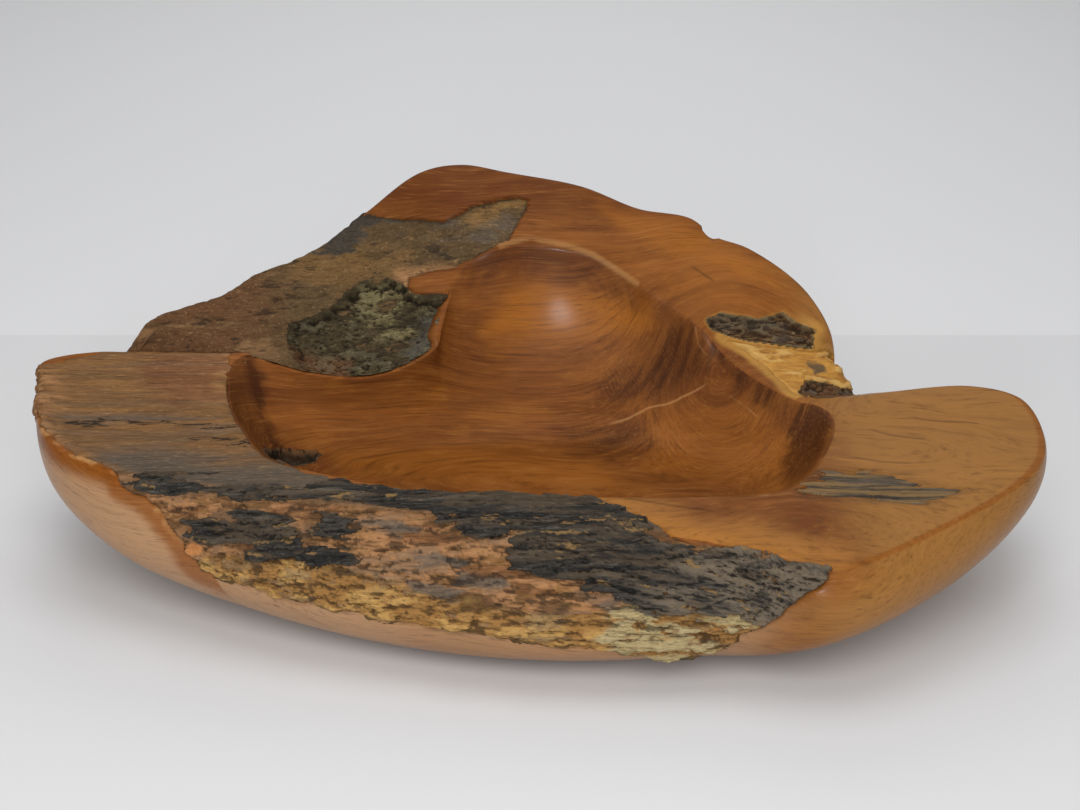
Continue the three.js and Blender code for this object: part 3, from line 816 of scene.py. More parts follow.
# Sapwood left raw under the bark: dry fibres, bleached grey on the deck, ochre and crumbling lower down
def raw_sapwood(name, fresh, aged, length):
    material, tree, shader = new_finish(name, Roughness=0.85, Specular_IOR_Level=0.25)
    fibres = lumps(tree, (22 * length, 1.1, 1.1), detail=5)
    tone = lumps(tree, (40 * length, 6, 6), detail=9, ragged=0.68)
    tooth = lumps(tree, (5 * length, 1.4, 1.4), detail=6, ragged=0.72)
    colour = coats(tree, fresh, [
        (tone, 0.36, 0.64, 0.9, aged),
        ("tan", 0, 1, 0.85, "#ab7c53"),
        ("ochre", 0, 1, 0.85, "#a07540"),
        ("cream", 0, 1, 0.8, "#c0985a"),
        ("red", 0, 1, 0.7, "#6b4029"),
        ("grey", 0, 1, 0.8, "#5a554e"),
        ("lichen", 0, 1, 0.85, "#b0a077"),
        (tone, 0.56, 0.76, 0.5, "#b08a5c"),
        (tone, 0.44, 0.24, 0.5, "#46331f"),
        (fibres, 0.5, 0.72, 0.5, "#37281b"),
        (tooth, 0.5, 0.76, 0.5, "#2c2118"),
        (tooth, 0.46, 0.26, 0.4, "#c2a377"),
        # Dark marks, with painted shade in recesses and along the wing rind's border
        ("dark", 0, 1, 0.9, "#1f1b17"),
        ("dot", 0, 1, 0.9, "#bd7f4c"),
    ])
    surface(tree, shader, colour, fibres, 1.2, 0.5)
    return material


# Pale sapwood cut through at the knot: yellow, dry and dull
def pale_sapwood():
    material, tree, shader = new_finish("pale_sapwood_cut", Roughness=0.6)
    streaks = lumps(tree, (30, 5, 4), detail=7, ragged=0.62)
    fibres = lumps(tree, (12, 0.9, 0.9), detail=3)
    colour = coats(tree, "#bb883c", [
        (streaks, 0.4, 0.66, 0.8, "#9a6428"),
        (fibres, 0.5, 0.7, 0.4, "#74491d"),
        ("pale", 0, 1, 0.85, "#d3ae68"),
        # The dark coat carries the knot's dark mark and painted shade in its recesses
        ("dark", 0, 1, 0.9, "#4a4034"),
    ])
    surface(tree, shader, colour, fibres, 0.8, 0.35)
    return material


# Dry bark: near black, with grey weathering, and grey on the ridges as a painted highlight
def dry_bark():
    material, tree, shader = new_finish("dry_charcoal_bark", Roughness=0.62, Specular_IOR_Level=0.35)
    fibres = lumps(tree, (18, 1.2, 1.2), detail=5)
    tone = lumps(tree, (30, 5, 5), detail=9, ragged=0.7)
    tooth = lumps(tree, (5, 1.3, 1.3), detail=6, ragged=0.74)
    colour = coats(tree, "#22201e", [
        (tone, 0.4, 0.66, 0.85, "#3f3a34"),
        ("brown", 0, 1, 0.75, "#4f4131"),
        ("grey", 0, 1, 0.75, "#786a58"),
        (tone, 0.58, 0.76, 0.6, "#7a6448"),
        (fibres, 0.54, 0.72, 0.4, "#6c675f"),
        ("ochre", 0, 1, 0.85, "#86683f"),
        (tooth, 0.52, 0.76, 0.6, "#121110"),
        (tooth, 0.44, 0.26, 0.45, "#8c7b64"),
        # The darkest coat is painted shade in the recesses
        ("dark", 0, 1, 0.9, "#0f0f0f"),
    ])
    surface(tree, shader, colour, fibres, 1.2, 0.6)
    return material


# Bark that has rotted to crumbs: dark brown folds with greenish yellow and cream flecks
def crumbled_bark():
    material, tree, shader = new_finish("crumbled_old_bark", Roughness=0.9, Specular_IOR_Level=0.25)
    crumbs = lumps(tree, (4, 2.2, 2.2), detail=7, ragged=0.7)
    tone = lumps(tree, (16, 6, 6), detail=8, ragged=0.66)
    colour = coats(tree, "#3d3425", [
        (tone, 0.4, 0.66, 0.85, "#5a4d36"),
        ("red", 0, 1, 0.75, "#6a4830"),
        ("grey", 0, 1, 0.75, "#5b574d"),
        ("pale", 0, 1, 0.65, "#7f7450"),
        (crumbs, 0.54, 0.74, "pale", "#b3a478"),
        (crumbs, 0.56, 0.78, 0.5, "#8b7b58"),
        (crumbs, 0.46, 0.28, 0.6, "#1d1811"),
        # The darkest coat is painted shade in the folds, the pockets and the scar
        ("dark", 0, 1, 0.88, "#16130e"),
    ])
    surface(tree, shader, colour, crumbs, 1.4, 0.6)
    return material


# Where a tissue covers the skin: pixels inside its torn outline, on the ribs and levels where it grew
def cover(outline, patch, ribs, levels, tear, seed, stretch=1.6):
    pixels = torn(patch.points, patch.pixels, stretch * tear, tear, seed)
    grew = between(patch.rib, ribs) & between(patch.level, levels)
    return np.where(grew, outline_distance(pixels, outline), NOWHERE)


def front_cover(patch):
    return cover(FRONT_RIND, patch, ribs=(24.6, 35.3), levels=(1.0, 2.72), tear=4, seed=11)


def wing_cover(patch):
    inside = cover(WING_RIND, patch, ribs=(13.2, 24.4), levels=(1.0, 2.1), tear=3, seed=21)
    over_crest = (patch.rib < CREST_BACK_RIB) & (patch.level > CREST_BACK_LEVEL)
    return np.where(over_crest, NOWHERE, inside)


def knot_cover(patch):
    return cover(KNOT, patch, ribs=(3.4, 8.6), levels=(1.02, 2.1), tear=2, seed=31)


def knot_pocket_cover(patch):
    return cover(KNOT_POCKET, patch, ribs=(5.5, 9.2), levels=(1.02, 2.1), tear=3, seed=32)


def knot_sliver_cover(patch):
    return cover(KNOT_SLIVER, patch, ribs=(2.8, 5.2), levels=(1.02, 2.1), tear=4, seed=33)


def deck_streak_cover(patch):
    return cover(DECK_STREAK, patch, ribs=(34.6, 37.6), levels=(1.02, 1.9), tear=6, seed=34, stretch=10)


def hollow_pocket_cover(patch):
    return cover(HOLLOW_POCKET, patch, ribs=(25.5, 30.5), levels=(0.6, 0.99), tear=3, seed=35)


# Grain: fibres run along the length and bend round the knot
KNOT_PIVOT = np.array([104.0, 96.0, 84.0])
KNOT_REACH = 46
PITH = np.array([0.0, 20.0, -90.0])
GRAIN_WAVE = 22


def grain_of(points):
    waves = [rough(points, (120, 70, 70), seed, 3, 0.36) for seed in (61, 62, 63)]
    bent = points + GRAIN_WAVE * np.stack(waves, axis=1)
    ring = np.hypot(bent[:, 1] - PITH[1], bent[:, 2] - PITH[2])
    away = np.linalg.norm(bent - KNOT_PIVOT, axis=1)
    swirl = np.exp(-(away / KNOT_REACH) ** 2)
    return np.stack([bent[:, 0], lerp(ring, away, swirl), bent[:, 2] + 0.3 * bent[:, 1]], axis=1)


# Seats cut into the heartwood for the other tissues, each with its depth
def seat_depth(patch):
    seats = (
        (front_cover(patch), 3.0),
        (wing_cover(patch) * (patch.level < WING_SEAT_END), 7.5),
        (knot_cover(patch), 4.0),
        (knot_pocket_cover(patch), 9.0),
        (knot_sliver_cover(patch), 5.0),
        (deck_streak_cover(patch), 3.0),
        (hollow_pocket_cover(patch), 6.0),
    )
    depth = np.zeros(len(patch.points))
    for inside, deep in seats:
        depth = np.maximum(depth, deep * fade(inside, 0.0, 2.0))
    return depth


# What the eye sees on the polished wood: figure, painted shade, glow, sheen and highlights, creases and
# cracks
def heartwood_marks(patch):
    points = patch.points
    along = points[:, 0]
    in_view = patch.facing()[:, None]
    seen = np.where(in_view, torn(points, patch.pixels, 8, 6, 71), OUT_OF_SIGHT)
    fine = np.where(in_view, patch.pixels + 3 * rough(points, (9, 9, 9), 72)[:, None], OUT_OF_SIGHT)
    drawn = patch.pixels + 5 * rough(points, (30, 30, 30), 76, 2)[:, None]
    drawn = np.where(in_view, drawn, OUT_OF_SIGHT)
    hollow = patch.level < HOLLOW_TOP
    outside = patch.level > 2
    # Dark figure of the swirl, and painted shade on the walls, the floor and under the lip
    figure_and_shade = [most * within(seen, outline, out, into) for outline, most, out, into in FIGURE_AND_SHADE]
    away = patch.pixels - SCOOP_EYE
    arcs = np.stack([np.hypot(*away.T), 90 * np.arctan2(away[:, 1], away[:, 0]), 0 * along], axis=1)
    fibres = fade(rough(arcs, (6, 130, 1), 73, 5, 0.7), -0.2, 0.25)
    # Painted glow of light in the hollow, and on the back band and crest
    painted_glow = np.zeros(len(points))
    for outline, most, out, into in HOLLOW_GLOWS:
        painted_glow += hollow * most * within(seen, outline, out, into)
    for outline, most, out, into in DECK_GLOWS:
        painted_glow = np.maximum(painted_glow, most * within(seen, outline, out, into) * (~hollow))
    edge = front_cover(patch)
    near_front = fade(edge, -46, -1) * between(patch.rib, FRONT_DECK_RIBS) * (~hollow) * (~outside)
    front_fibres = 0.35 * near_front * fade(rough(points, (70, 2.4, 2.4), 74, 5, 0.65), 0.06, 0.26)
    under_rind = fade(edge, -70, -4) * between(patch.rib, UNDER_RIND_RIBS)
    under_rind = under_rind * (1 - fade(along, *UNDER_RIND_END))
    halo = 0.45 * fade(deck_streak_cover(patch), -10, 0)
    keen_edge = 1 - fade(np.abs(patch.level - KEEN_EDGE_LEVEL), *KEEN_EDGE_WIDTH)
    keen_edge *= np.maximum(fade(patch.rib, *KEEN_EDGE_START), 1 - fade(patch.rib, *KEEN_EDGE_END))
    left_end = (patch.level > LEFT_END_LEVEL) & between(patch.rib, LEFT_END_RIBS)
    pocket = knot_pocket_cover(patch)
    beside_pocket = fade(patch.pixels[:, 0], *RIGHT_OF_POCKET) * fade(pocket, -16, -2)
    sap = np.max([fade(knot_cover(patch), -11, -2), 0.5 * fade(pocket, -5, -1), beside_pocket], axis=0)
    worn = fade(rough(points, (14, 14, 14), 75), -0.2, 0.2)
    # Painted highlights along the lip of the scoop and the front rim
    lip = along_line(fine, RIM_LIP_HIGHLIGHT, 1.0, 6.0)
    lip = lip * fade(patch.level, *LIP_START) * (1 - fade(patch.level, *LIP_END))
    front_rim_highlight = along_line(seen, FRONT_RIM_HIGHLIGHT, 0.5, 3.0) * (patch.level > FRONT_RIM_LEVEL)
    beside_crease, creased = beside_lines(drawn, CREASES)
    beside_crack, cracked = beside_lines(drawn, CRACKS)
    behind_deck = between(patch.rib, BEHIND_DECK_RIBS) & ~hollow
    fold = 0.9 * along_line(patch.pixels, WING_FOLD, 4, 10) * behind_deck
    light_deck = 0.95 * np.maximum(fade(along, *LIGHT_RIGHT), near_front) * (patch.level > HOLLOW_TOP)
    fields = {
        "grain": grain_of(points),
        # Dark figure of the swirl, with painted shade in the hollow
        "dark": hollow * np.max(figure_and_shade, axis=0) * lerp(0.55, 1.0, fibres),
        "red": hollow * 0.15 * fade(along, *RED_LEFT) + 0.8 * fade(points[:, 2], *RED_CREST),
        "light": 0.45 * fade(patch.level, *LIGHT_HULL) + light_deck,
        # Painted sheen: the table's pale reflection on the hull, at the left end and below the rind
        "hull_sheen": fade(patch.level, *SHEEN_HULL) * np.maximum(fade(along, *SHEEN_LEFT), 0.65 * under_rind),
        "sap": sap * (~hollow),
        # Painted glow, also on the front of the right deck
        "painted_glow": np.maximum(painted_glow, 0.5 * near_front),
        "streak": np.max([front_fibres, halo, fold], axis=0),
        "burnt": np.maximum(left_end * fade(edge, -22, -6), 0.8 * keen_edge),
        # Painted highlights on the lip and the front rim, and a pale fringe at the left end beside the rind
        "pale": np.max([0.4 * lip, 0.35 * front_rim_highlight, 0.6 * worn * left_end * fade(edge, -7, -3)], axis=0),
        "figured": np.where(hollow, 0.6, 0.26),
        "crease": beside_crease,
        "creased": hollow * creased * lerp(0.4, 1.0, worn),
        "crack": beside_crack,
        "cracked": cracked * (~hollow),
        "dull": hollow * fade(along, *DULL_LEFT),
    }
    relief = 0.5 * rough(points, (55, 45, 45), 41, 2)
    crest = between(patch.level, NOTCH_LEVELS) & between(patch.rib, NOTCH_RIBS)
    relief -= 2.0 * crest * along_line(patch.pixels, CREST_NOTCH, 0.5, 5.0)
    return fields, relief


# Points all round the bowl, and rows of the hollow and the outside: first level, last level and how many
HEARTWOOD_COLUMNS = 760
HOLLOW_ROWS = ((0.02, 0.6, 44), (0.61, 0.9, 36), (0.905, 1.06, 34))
OUTSIDE_ROWS = ((1.06, 1.86, 52), (1.87, 2.1, 30), (2.12, 2.62, 28), (2.65, 2.99, 14))


# Carve one part of the bowl all the way round, closed at its middle by a fan
def carve(name, sections, tip, tip_first, material):
    rows = np.concatenate([np.linspace(*section) for section in sections])
    fine = np.linspace(0, RIB_COUNT, FINE_ROUND)
    lengths = path_length(0.5 * (run(RIMS, fine % RIB_COUNT) + run(EDGES, fine % RIB_COUNT)))
    columns = np.interp(np.linspace(0, lengths[-1], HEARTWOOD_COLUMNS + 1), lengths, fine)
    patch = Patch(columns, rows)
    fields, relief = heartwood_marks(patch)
    points = patch.points + patch.normals * (relief - seat_depth(patch))[:, None]
    index = np.arange(len(points)).reshape(patch.shape)
    kept = index[:, :-1].ravel()
    place = np.full(len(points), -1)
    place[kept] = np.arange(len(kept))
    place[index[:, -1]] = place[index[:, 0]]
    ring = place[index[0] if tip_first else index[-1]]
    middle = np.full(HEARTWOOD_COLUMNS, len(kept))
    fan = [middle, ring[:-1], ring[1:]] if tip_first else [middle, ring[1:], ring[:-1]]
    beside_tip = [0 if tip_first else -1]
    fields = {
        field: np.concatenate([values[kept], values[kept][beside_tip]]) for field, values in fields.items()
    }
    points = np.vstack([points[kept], tip])
    piece = make_piece(name, points, place[patch.quads()], fields, material, np.stack(fan, axis=1))
    fit(piece, "heartwood_bowl")


# Relief of the live edge: plates of fibre, then ledges that overhang like shingles lower down
def front_relief(points, face):
    fibre = 1.0 * rough(points, (70, 6, 6), 3) + 0.9 * rough(points, (16, 2.4, 2.4), 4)
    plates = rough(points, (30, 5, 5), 13, 5, 0.65)
    layers = 0.7 * fade(plates, 0.02, 0.06) + 0.7 * fade(plates, 0.2, 0.24) - 0.6 * fade(-plates, 0.2, 0.24)
    steps = points[:, 2] / 12 + 2.2 * rough(points, (60, 30, 30), 5) + 0.5 * rough(points, (14, 5, 5), 6)
    ledge = 1.5 * (1 - (steps - np.floor(steps))) ** 1.4
    return lerp(0.5 * fibre, fibre + layers + ledge, face), plates


def grow_live_edge(material):
    patch = patch_between(ribs=(24.7, 35.2), levels=(1.01, 2.7), spacing=0.8)
    points = patch.points
    inside = front_cover(patch)
    face = fade(patch.level, *FACE_LEVELS)
    deck = 1 - face
    pixels = torn(points, patch.pixels, 34, 11, 12)
    relief, plates = front_relief(points, face)
    ochre = face * fade(below_line(pixels, OCHRE_LINE), -6, 6)
    lump = rough(points, (15, 5, 5), 16, 5, 0.62)
    speck = rough(points, (12, 2.6, 2.6), 14, 4, 0.65)
    streak = rough(points, (110, 3.4, 3.4), 17, 5, 0.65)
    flecks = rough(points, (10, 2.6, 2.6), 15, 5, 0.65)
    drift = rough(points, (80, 18, 18), 19, 4, 0.6)
    under_step = below_line(patch.pixels, DECK_STEP) + 8 * rough(points, (60, 10, 10), 20, 4, 0.6)
    valley = fade(under_step, -2, 3) * (1 - fade(under_step, 6, 46))
    valley = valley * (1 - fade(patch.pixels[:, 0], *DECK_STEP_END)) * deck
    border = lerp(0.4, 2.6, face) * (1 - fade(inside, -1.0, 4.0))
    height = relief + 3.0 * ochre * lump - border + 0.4 * face - 2.2 * valley
    recess_shade = patch.recess_shade(height, 0.1, 0.7)
    purple = np.max([within(pixels, outline, -4, 4) for outline in PURPLE_PATCHES], axis=0)
    olive = np.max([within(pixels, outline, -4, 4) for outline in OLIVE_PATCHES], axis=0)
    lichen = within(pixels, LICHEN, -8, 6)
    front_deck = fade(patch.pixels[:, 1] - FRONT_DECK_SLANT * patch.pixels[:, 0], *FRONT_DECK)
    beside_band = within(pixels, FRONT_BAND, -56, -4) * deck
    deck_grey = 0.75 * front_deck * fade(drift + 0.5 * streak, -0.4, 0.3) + 0.3 * fade(streak, 0.0, 0.4)
    deck_grey = np.maximum(deck_grey * deck, 0.7 * valley * fade(streak, -0.4, 0.2))
    deck_red = 0.75 * within(pixels, DECK_RED, -12, 8) * deck
    deck_tan = 0.6 * deck * (1 - front_deck) * fade(drift, -0.2, 0.2)
    face_grey = 0.5 * face * fade(plates, 0.16, 0.24)
    face_red = face * (1 - ochre) * 0.6 * fade(-plates, 0.0, 0.4)
    face_tan = face * (1 - ochre) * fade(flecks + 0.5 * plates, -0.3, 0.15)
    cracks = np.max([along_line(pixels, line, 0.4, 1.6) for line in DECK_CRACKS], axis=0) * deck
    stain = np.max([within(pixels, outline, -10, 3) for _, outline, *_ in SCABS], axis=0)
    contact = (1 - fade(inside, 0.5, 4)) * face * fade(patch.level, *CONTACT_LEVELS)
    specks = fade(speck, 0.24, 0.34) * face
    fields = {
        "tan": face_tan + deck_tan,
        "ochre": ochre,
        "cream": ochre * fade(lump, -0.15, 0.4),
        "red": np.maximum(face_red, deck_red),
        "grey": np.clip(np.max([deck_grey, 0.9 * beside_band, 0.85 * purple, face_grey], axis=0), 0, 1),
        "lichen": lichen * fade(lump + 0.5 * flecks, -0.2, 0.15),
        # Dark specks, patches, stains, cracks and a dark border, and painted shade in the recesses
        "dark": np.max([
            0.7 * contact, 0.7 * specks, 0.55 * olive, 0.45 * stain * face, 0.85 * cracks,
            0.3 * beside_band, lerp(0.35, 0.65, face) * recess_shade,
        ], axis=0),
        "dot": within(torn(points, patch.pixels, 4, 3, 18), ORANGE_DOT, -1, 2),
        "crumbs": face * np.maximum(0.8 * ochre, lichen) * fade(inside, 3, 8),
    }
    piece = cut_piece("live_edge_rind_fibres", patch, inside > -1.5, height, 5, fields, material)
    fit(piece, "live_edge_rind")
    return piece


# A scab of bark: proud of the rind, in ragged plates with torn holes
def grow_scab(node, outline, ribs, levels, proud, seed, material):
    patch = patch_between(ribs, levels, 0.62)
    points = patch.points
    pixels = torn(points, patch.pixels, 44, 7, seed)
    inside = outline_distance(pixels, outline)
    sloping = points + BARK_TILT * np.maximum(points[:, :1] - BARK_TILT_START, 0)
    holes = rough(sloping, (34, 3.4, 3.4), seed + 5, 5, 0.7)
    mask = np.minimum(inside / 7, 1.0) - 3.0 * np.maximum(0, holes - 0.34)
    mask = np.minimum(mask, front_cover(patch) / 5)
    under, _ = front_relief(points, fade(patch.level, *FACE_LEVELS))
    plates = rough(sloping, (44, 3.6, 3.6), seed + 7, 5, 0.7)
    layers = 0.7 * fade(plates, -0.04, 0.0) + 0.7 * fade(plates, 0.18, 0.22)
    height = under + proud * fade(mask, -0.1, 0.3) + layers - 1.2 * (1 - fade(mask, -0.1, 0.15))
    recess_shade = patch.recess_shade(height, 0.1, 0.6)
    lower_right = fade(patch.pixels[:, 0] + GREY_BARK_SLANT * patch.pixels[:, 1], *GREY_BARK)
    fields = {
        # Grey weathering lower right, and grey on the raised plates as a painted highlight
        "grey": np.clip(0.9 * lower_right * fade(plates, -0.6, 0.25) + 0.3 * fade(plates, 0.05, 0.5), 0, 1),
        "brown": fade(rough(sloping, (50, 5, 5), seed + 9, 5, 0.68), -0.15, 0.35),
        "ochre": np.maximum(fade(rough(sloping, (14, 2.4, 2.4), seed + 11, 4, 0.65), 0.36, 0.5),
                            0.6 * (1 - fade(mask, 0, 0.16))),
        # Painted shade in the recesses
        "dark": 0.8 * recess_shade,
    }
    piece = cut_piece(node + "_torn", patch, mask > -0.06, height, 2.5, fields, material)
    fit(piece, node)


def grow_wing_rind(material):
    patch = patch_between(ribs=(13.3, 24.3), levels=(1.01, 2.08), spacing=0.8)
    points = patch.points
    inside = wing_cover(patch)
    scar = outline_distance(torn(points, patch.pixels, 10, 6, 22), WING_SCAR)
    plates = rough(points, (42, 12, 12), 23, 5, 0.62)
    height = 0.5 - 3.1 * (1 - fade(patch.level, *WING_STEP)) + 1.3 * plates + 0.5 * fade(plates, 0.1, 0.13)
    height += 0.6 * rough(points, (9, 3.5, 3.5), 24) - 3.5 * fade(scar, 0, 4)
    recess_shade = patch.recess_shade(height, 0.12, 0.5)
    pixels = torn(points, patch.pixels, 30, 16, 25)
    # Painted shadow along the rind's border, which lies below the polished crest
    shadow_under_crest = 1 - fade(inside, 0.5, 4)
    olive = within(pixels, WING_OLIVE, -10, 8)
    blue = within(pixels, WING_BLUE, -6, 4)
    streak = within(pixels, WING_STREAK, -9, 5)
    left = fade(patch.pixels[:, 0], *WING_LEFT)
    right = fade(patch.pixels[:, 0], *WING_RIGHT)
    drift = fade(rough(points, (50, 16, 16), 27, 5, 0.6), -0.1, 0.25)
    spots = fade(rough(points, (16, 5, 5), 26, 5, 0.65), 0.3, 0.4)
    none = 0 * inside
    fields = {
        "tan": np.maximum(0.5 * left * drift, 0.85 * within(patch.pixels, TONGUE, -14, 6)),
        "ochre": np.maximum(0.35 * olive, 0.5 * streak),
        "cream": 0.12 * streak,
        "red": 0.6 * left * (1 - drift),
        "grey": np.maximum(0.8 * blue, 0.55 * right * drift),
        "lichen": none,
        # Dark blue-grey patches and spots, with painted shadow along the border and painted shade in recesses
        "dark": np.max([0.6 * shadow_under_crest, 0.55 * blue, 0.6 * recess_shade, 0.6 * spots], axis=0),
        "dot": none,
    }
    piece = cut_piece("rear_wing_rind_fibres", patch, inside > -2, height, 6, fields, material)
    fit(piece, "rear_wing_rind")


# The scar: bark rotted to crumbs, with painted shade where it is deepest
def grow_scar(material):
    patch = patch_between(ribs=(16.5, 22.6), levels=(1.01, 1.75), spacing=0.55)
    points = patch.points
    inside = outline_distance(torn(points, patch.pixels, 10, 6, 22), WING_SCAR)
    folds = rough(points, (11, 6, 6), 181, 5, 0.7)
    height = -4.6 * fade(inside, -1, 6) + (2.6 * folds + 0.6 * fade(folds, 0.1, 0.14)) * fade(inside, 0, 4)
    recess_shade = patch.recess_shade(height, 0.1, 0.7)
    pixels = torn(points, patch.pixels, 24, 16, 183)
    flecks = within(pixels, SCAR_FLECKS, -16, 6)
    rim = 1 - fade(inside, 0.5, 3.0)
    fields = {
        "grey": np.maximum(0.9 * within(pixels, SCAR_BLUE, -12, 4), 0.4 * fade(folds, 0.12, 0.3)),
        "red": within(pixels, SCAR_RED, -12, 4),
        "pale": np.clip(0.8 * flecks * fade(folds, -0.3, 0.3) + 0.3 * fade(folds, -0.1, 0.4), 0, 1),
        # Painted shade along the scar's rim, in its recesses and in the troughs of its folds
        "dark": np.max([0.4 * rim, 0.8 * recess_shade, 0.45 * fade(-folds, 0.0, 0.45)], axis=0),
        "crumbs": fade(inside, 4, 10),
    }
    piece = cut_piece("rear_bark_scar_crumbs", patch, inside > -1.5, height, 4, fields, material)
    fit(piece, "rear_bark_scar")
    return piece


# Bark folded into a pocket: thin layers that follow its outline
def grow_pocket(node, pocket_cover, ribs, levels, material, depth, seed, pale, folded=1.0):
    patch = patch_between(ribs, levels, 0.5)
    points = patch.points
    inside = pocket_cover(patch)
    wander = rough(points, (18, 6, 6), seed, 5, 0.6)
    fold = np.sin(0.75 * inside + 13 * wander)
    height = -depth * fade(inside, -1, 6) + folded * (0.8 * fold + 1.6 * wander) * fade(inside, 0, 3)
    recess_shade = patch.recess_shade(height, 0.1, 0.6)
    fields = {
        "grey": 0.6 * fade(rough(points, (24, 8, 8), seed + 5, 5, 0.6), 0.05, 0.25),
        "red": np.maximum(pale, fade(rough(points, (20, 8, 8), seed + 9, 4), -0.25, 0.1)),
        "pale": pale * np.maximum(0.7 * fade(fold, 0.2, 1.0), 1 - fade(inside, 0.4, 2.0)),
        # Painted shade in the recesses, in the troughs of the folds and deep in a pocket with few folds
        "dark": np.max([
            lerp(0.9, 0.5, pale) * recess_shade, lerp(0.9, 0.3, pale) * fade(-fold, -0.2, 0.9),
            (1 - folded) * fade(inside, 0, 4),
        ], axis=0),
    }
    piece = cut_piece(node + "_folds", patch, inside > -1.5, height, 4, fields, material)
    fit(piece, node)


def grow_knot(material):
    patch = patch_between(ribs=(3.4, 8.6), levels=(1.03, 2.06), spacing=0.55)
    points = patch.points
    inside = knot_cover(patch)
    layers = rough(points, (34, 9, 7), 81, 5, 0.6)
    height = 1.4 * layers + 0.6 * fade(layers, 0.08, 0.11) + 0.6 * rough(points, (8, 3, 3), 82)
    height -= 2.2 * (1 - fade(inside, -1, 3))
    recess_shade = patch.recess_shade(height, 0.08, 0.5)
    mark = within(torn(points, patch.pixels, 8, 5, 83), KNOT_MARK, -2, 2)
    fields = {
        "pale": np.maximum(0.6 * fade(layers, 0.05, 0.25), 0.5 * (1 - fade(inside, 0, 4))),
        # A dark mark on the knot, and painted shade in its recesses
        "dark": np.maximum(0.85 * mark, 0.4 * recess_shade),
    }
    keep = (inside > -1.5) & (knot_sliver_cover(patch) < 0)
    piece = cut_piece("knot_sapwood_cut", patch, keep, height, 4, fields, material)
    fit(piece, "knot_sapwood")


def grow_deck_streak(material):
    patch = patch_between(ribs=(34.6, 37.6), levels=(1.02, 1.9), spacing=0.55)
    points = patch.points
    inside = deck_streak_cover(patch)
    fibre = rough(points, (26, 3.4, 3.4), 91, 5, 0.65)
    height = -0.5 + 1.1 * fibre - 1.0 * (1 - fade(inside, -1, 3))
    fields = {
        "grey": 0.5 * fade(fibre, -0.3, 0.3),
        "brown": 0.5 + 0.5 * fade(rough(points, (40, 6, 6), 93, 5, 0.6), -0.3, 0.2),
        "ochre": 0.75 * fade(rough(points, (60, 2.2, 2.2), 92, 5, 0.65), -0.15, 0.2),
        # Painted shade in the recesses
        "dark": 0.7 * patch.recess_shade(height, 0.1, 0.5),
    }
    holes = rough(points, (24, 4, 4), 94, 5, 0.68)
    keep = np.minimum(inside / 6, 1) - 3 * np.maximum(0, holes - 0.3) > -0.1
    piece = cut_piece("right_deck_bark_grey", patch, keep, height, 4, fields, material)
    fit(piece, "right_deck_bark_streak")


# Loose crumbs lie where a piece carries the field named crumbs; their long side follows the fibres
def crumb_scatter():
    tree = bpy.data.node_groups.new("loose_crumbs", "GeometryNodeTree")
    for name, kind in (("Ground", "Geometry"), ("Per square metre", "Float"), ("Smallest", "Vector"),
                       ("Largest", "Vector"), ("Seed", "Int"), ("Finish", "Material")):
        tree.interface.new_socket(name, in_out="INPUT", socket_type="NodeSocket" + kind)
    tree.interface.new_socket("Crumbs", in_out="OUTPUT", socket_type="NodeSocketGeometry")
    given = add(tree, "NodeGroupInput").outputs
    where = add(tree, "GeometryNodeInputNamedAttribute", {"Name": "crumbs"}, data_type="FLOAT")
    density = add(tree, "ShaderNodeMath", {
        0: where.outputs["Attribute"], 1: given["Per square metre"],
    }, operation="MULTIPLY").outputs[0]
    spots = add(tree, "GeometryNodeDistributePointsOnFaces", {
        "Mesh": given["Ground"], "Density": density, "Seed": given["Seed"],
    }).outputs
    lie = add(tree, "FunctionNodeAlignRotationToVector", {
        "Rotation": spots["Rotation"], "Vector": (1, 0, 0),
    }, axis="X", pivot_axis="Z").outputs["Rotation"]
    size = add(tree, "FunctionNodeRandomValue", {
        0: given["Smallest"], 1: given["Largest"], "Seed": given["Seed"],
    }, data_type="FLOAT_VECTOR").outputs[0]
    crumb = add(tree, "GeometryNodeMeshIcoSphere", {"Radius": 1.0, "Subdivisions": 1}).outputs["Mesh"]
    laid = add(tree, "GeometryNodeInstanceOnPoints", {
        "Points": spots["Points"], "Instance": crumb, "Rotation": lie, "Scale": size,
    }).outputs["Instances"]
    solid = add(tree, "GeometryNodeRealizeInstances", {"Geometry": laid}).outputs["Geometry"]
    finished = add(tree, "GeometryNodeSetMaterial", {"Geometry": solid, "Material": given["Finish"]})
    add(tree, "NodeGroupOutput", {"Crumbs": finished.outputs["Geometry"]})
    return tree


# Scatter crumbs over a piece and keep them as a plain mesh of their own
def lay_crumbs(name, ground, tree, settings, node):
    bed = bpy.data.objects.new(name + "_bed", ground.data)
    bpy.context.scene.collection.objects.link(bed)
    scatter = bed.modifiers.new("loose_crumbs", "NODES")
    scatter.node_group = tree
    for socket in tree.interface.items_tree:
        if socket.name in settings:
            scatter[socket.identifier] = settings[socket.name]
    graph = bpy.context.evaluated_depsgraph_get()
    mesh = bpy.data.meshes.new_from_object(bed.evaluated_get(graph), depsgraph=graph)
    mesh.name = name
    bpy.data.objects.remove(bed)
    piece = bpy.data.objects.new(name, mesh)
    bpy.context.scene.collection.objects.link(piece)
    fit(piece, node)


# The stage and the room, in metres
TABLE_EDGE = 0.318
TABLE_REACH = 5
TABLE_COLOUR = "#dededf"
SHEET_COLOUR = "#e6e6e7"
ROOM_COLOUR = "#f2f3f5"
ROOM_LIGHT = 0.28
SENSOR_WIDTH = 36


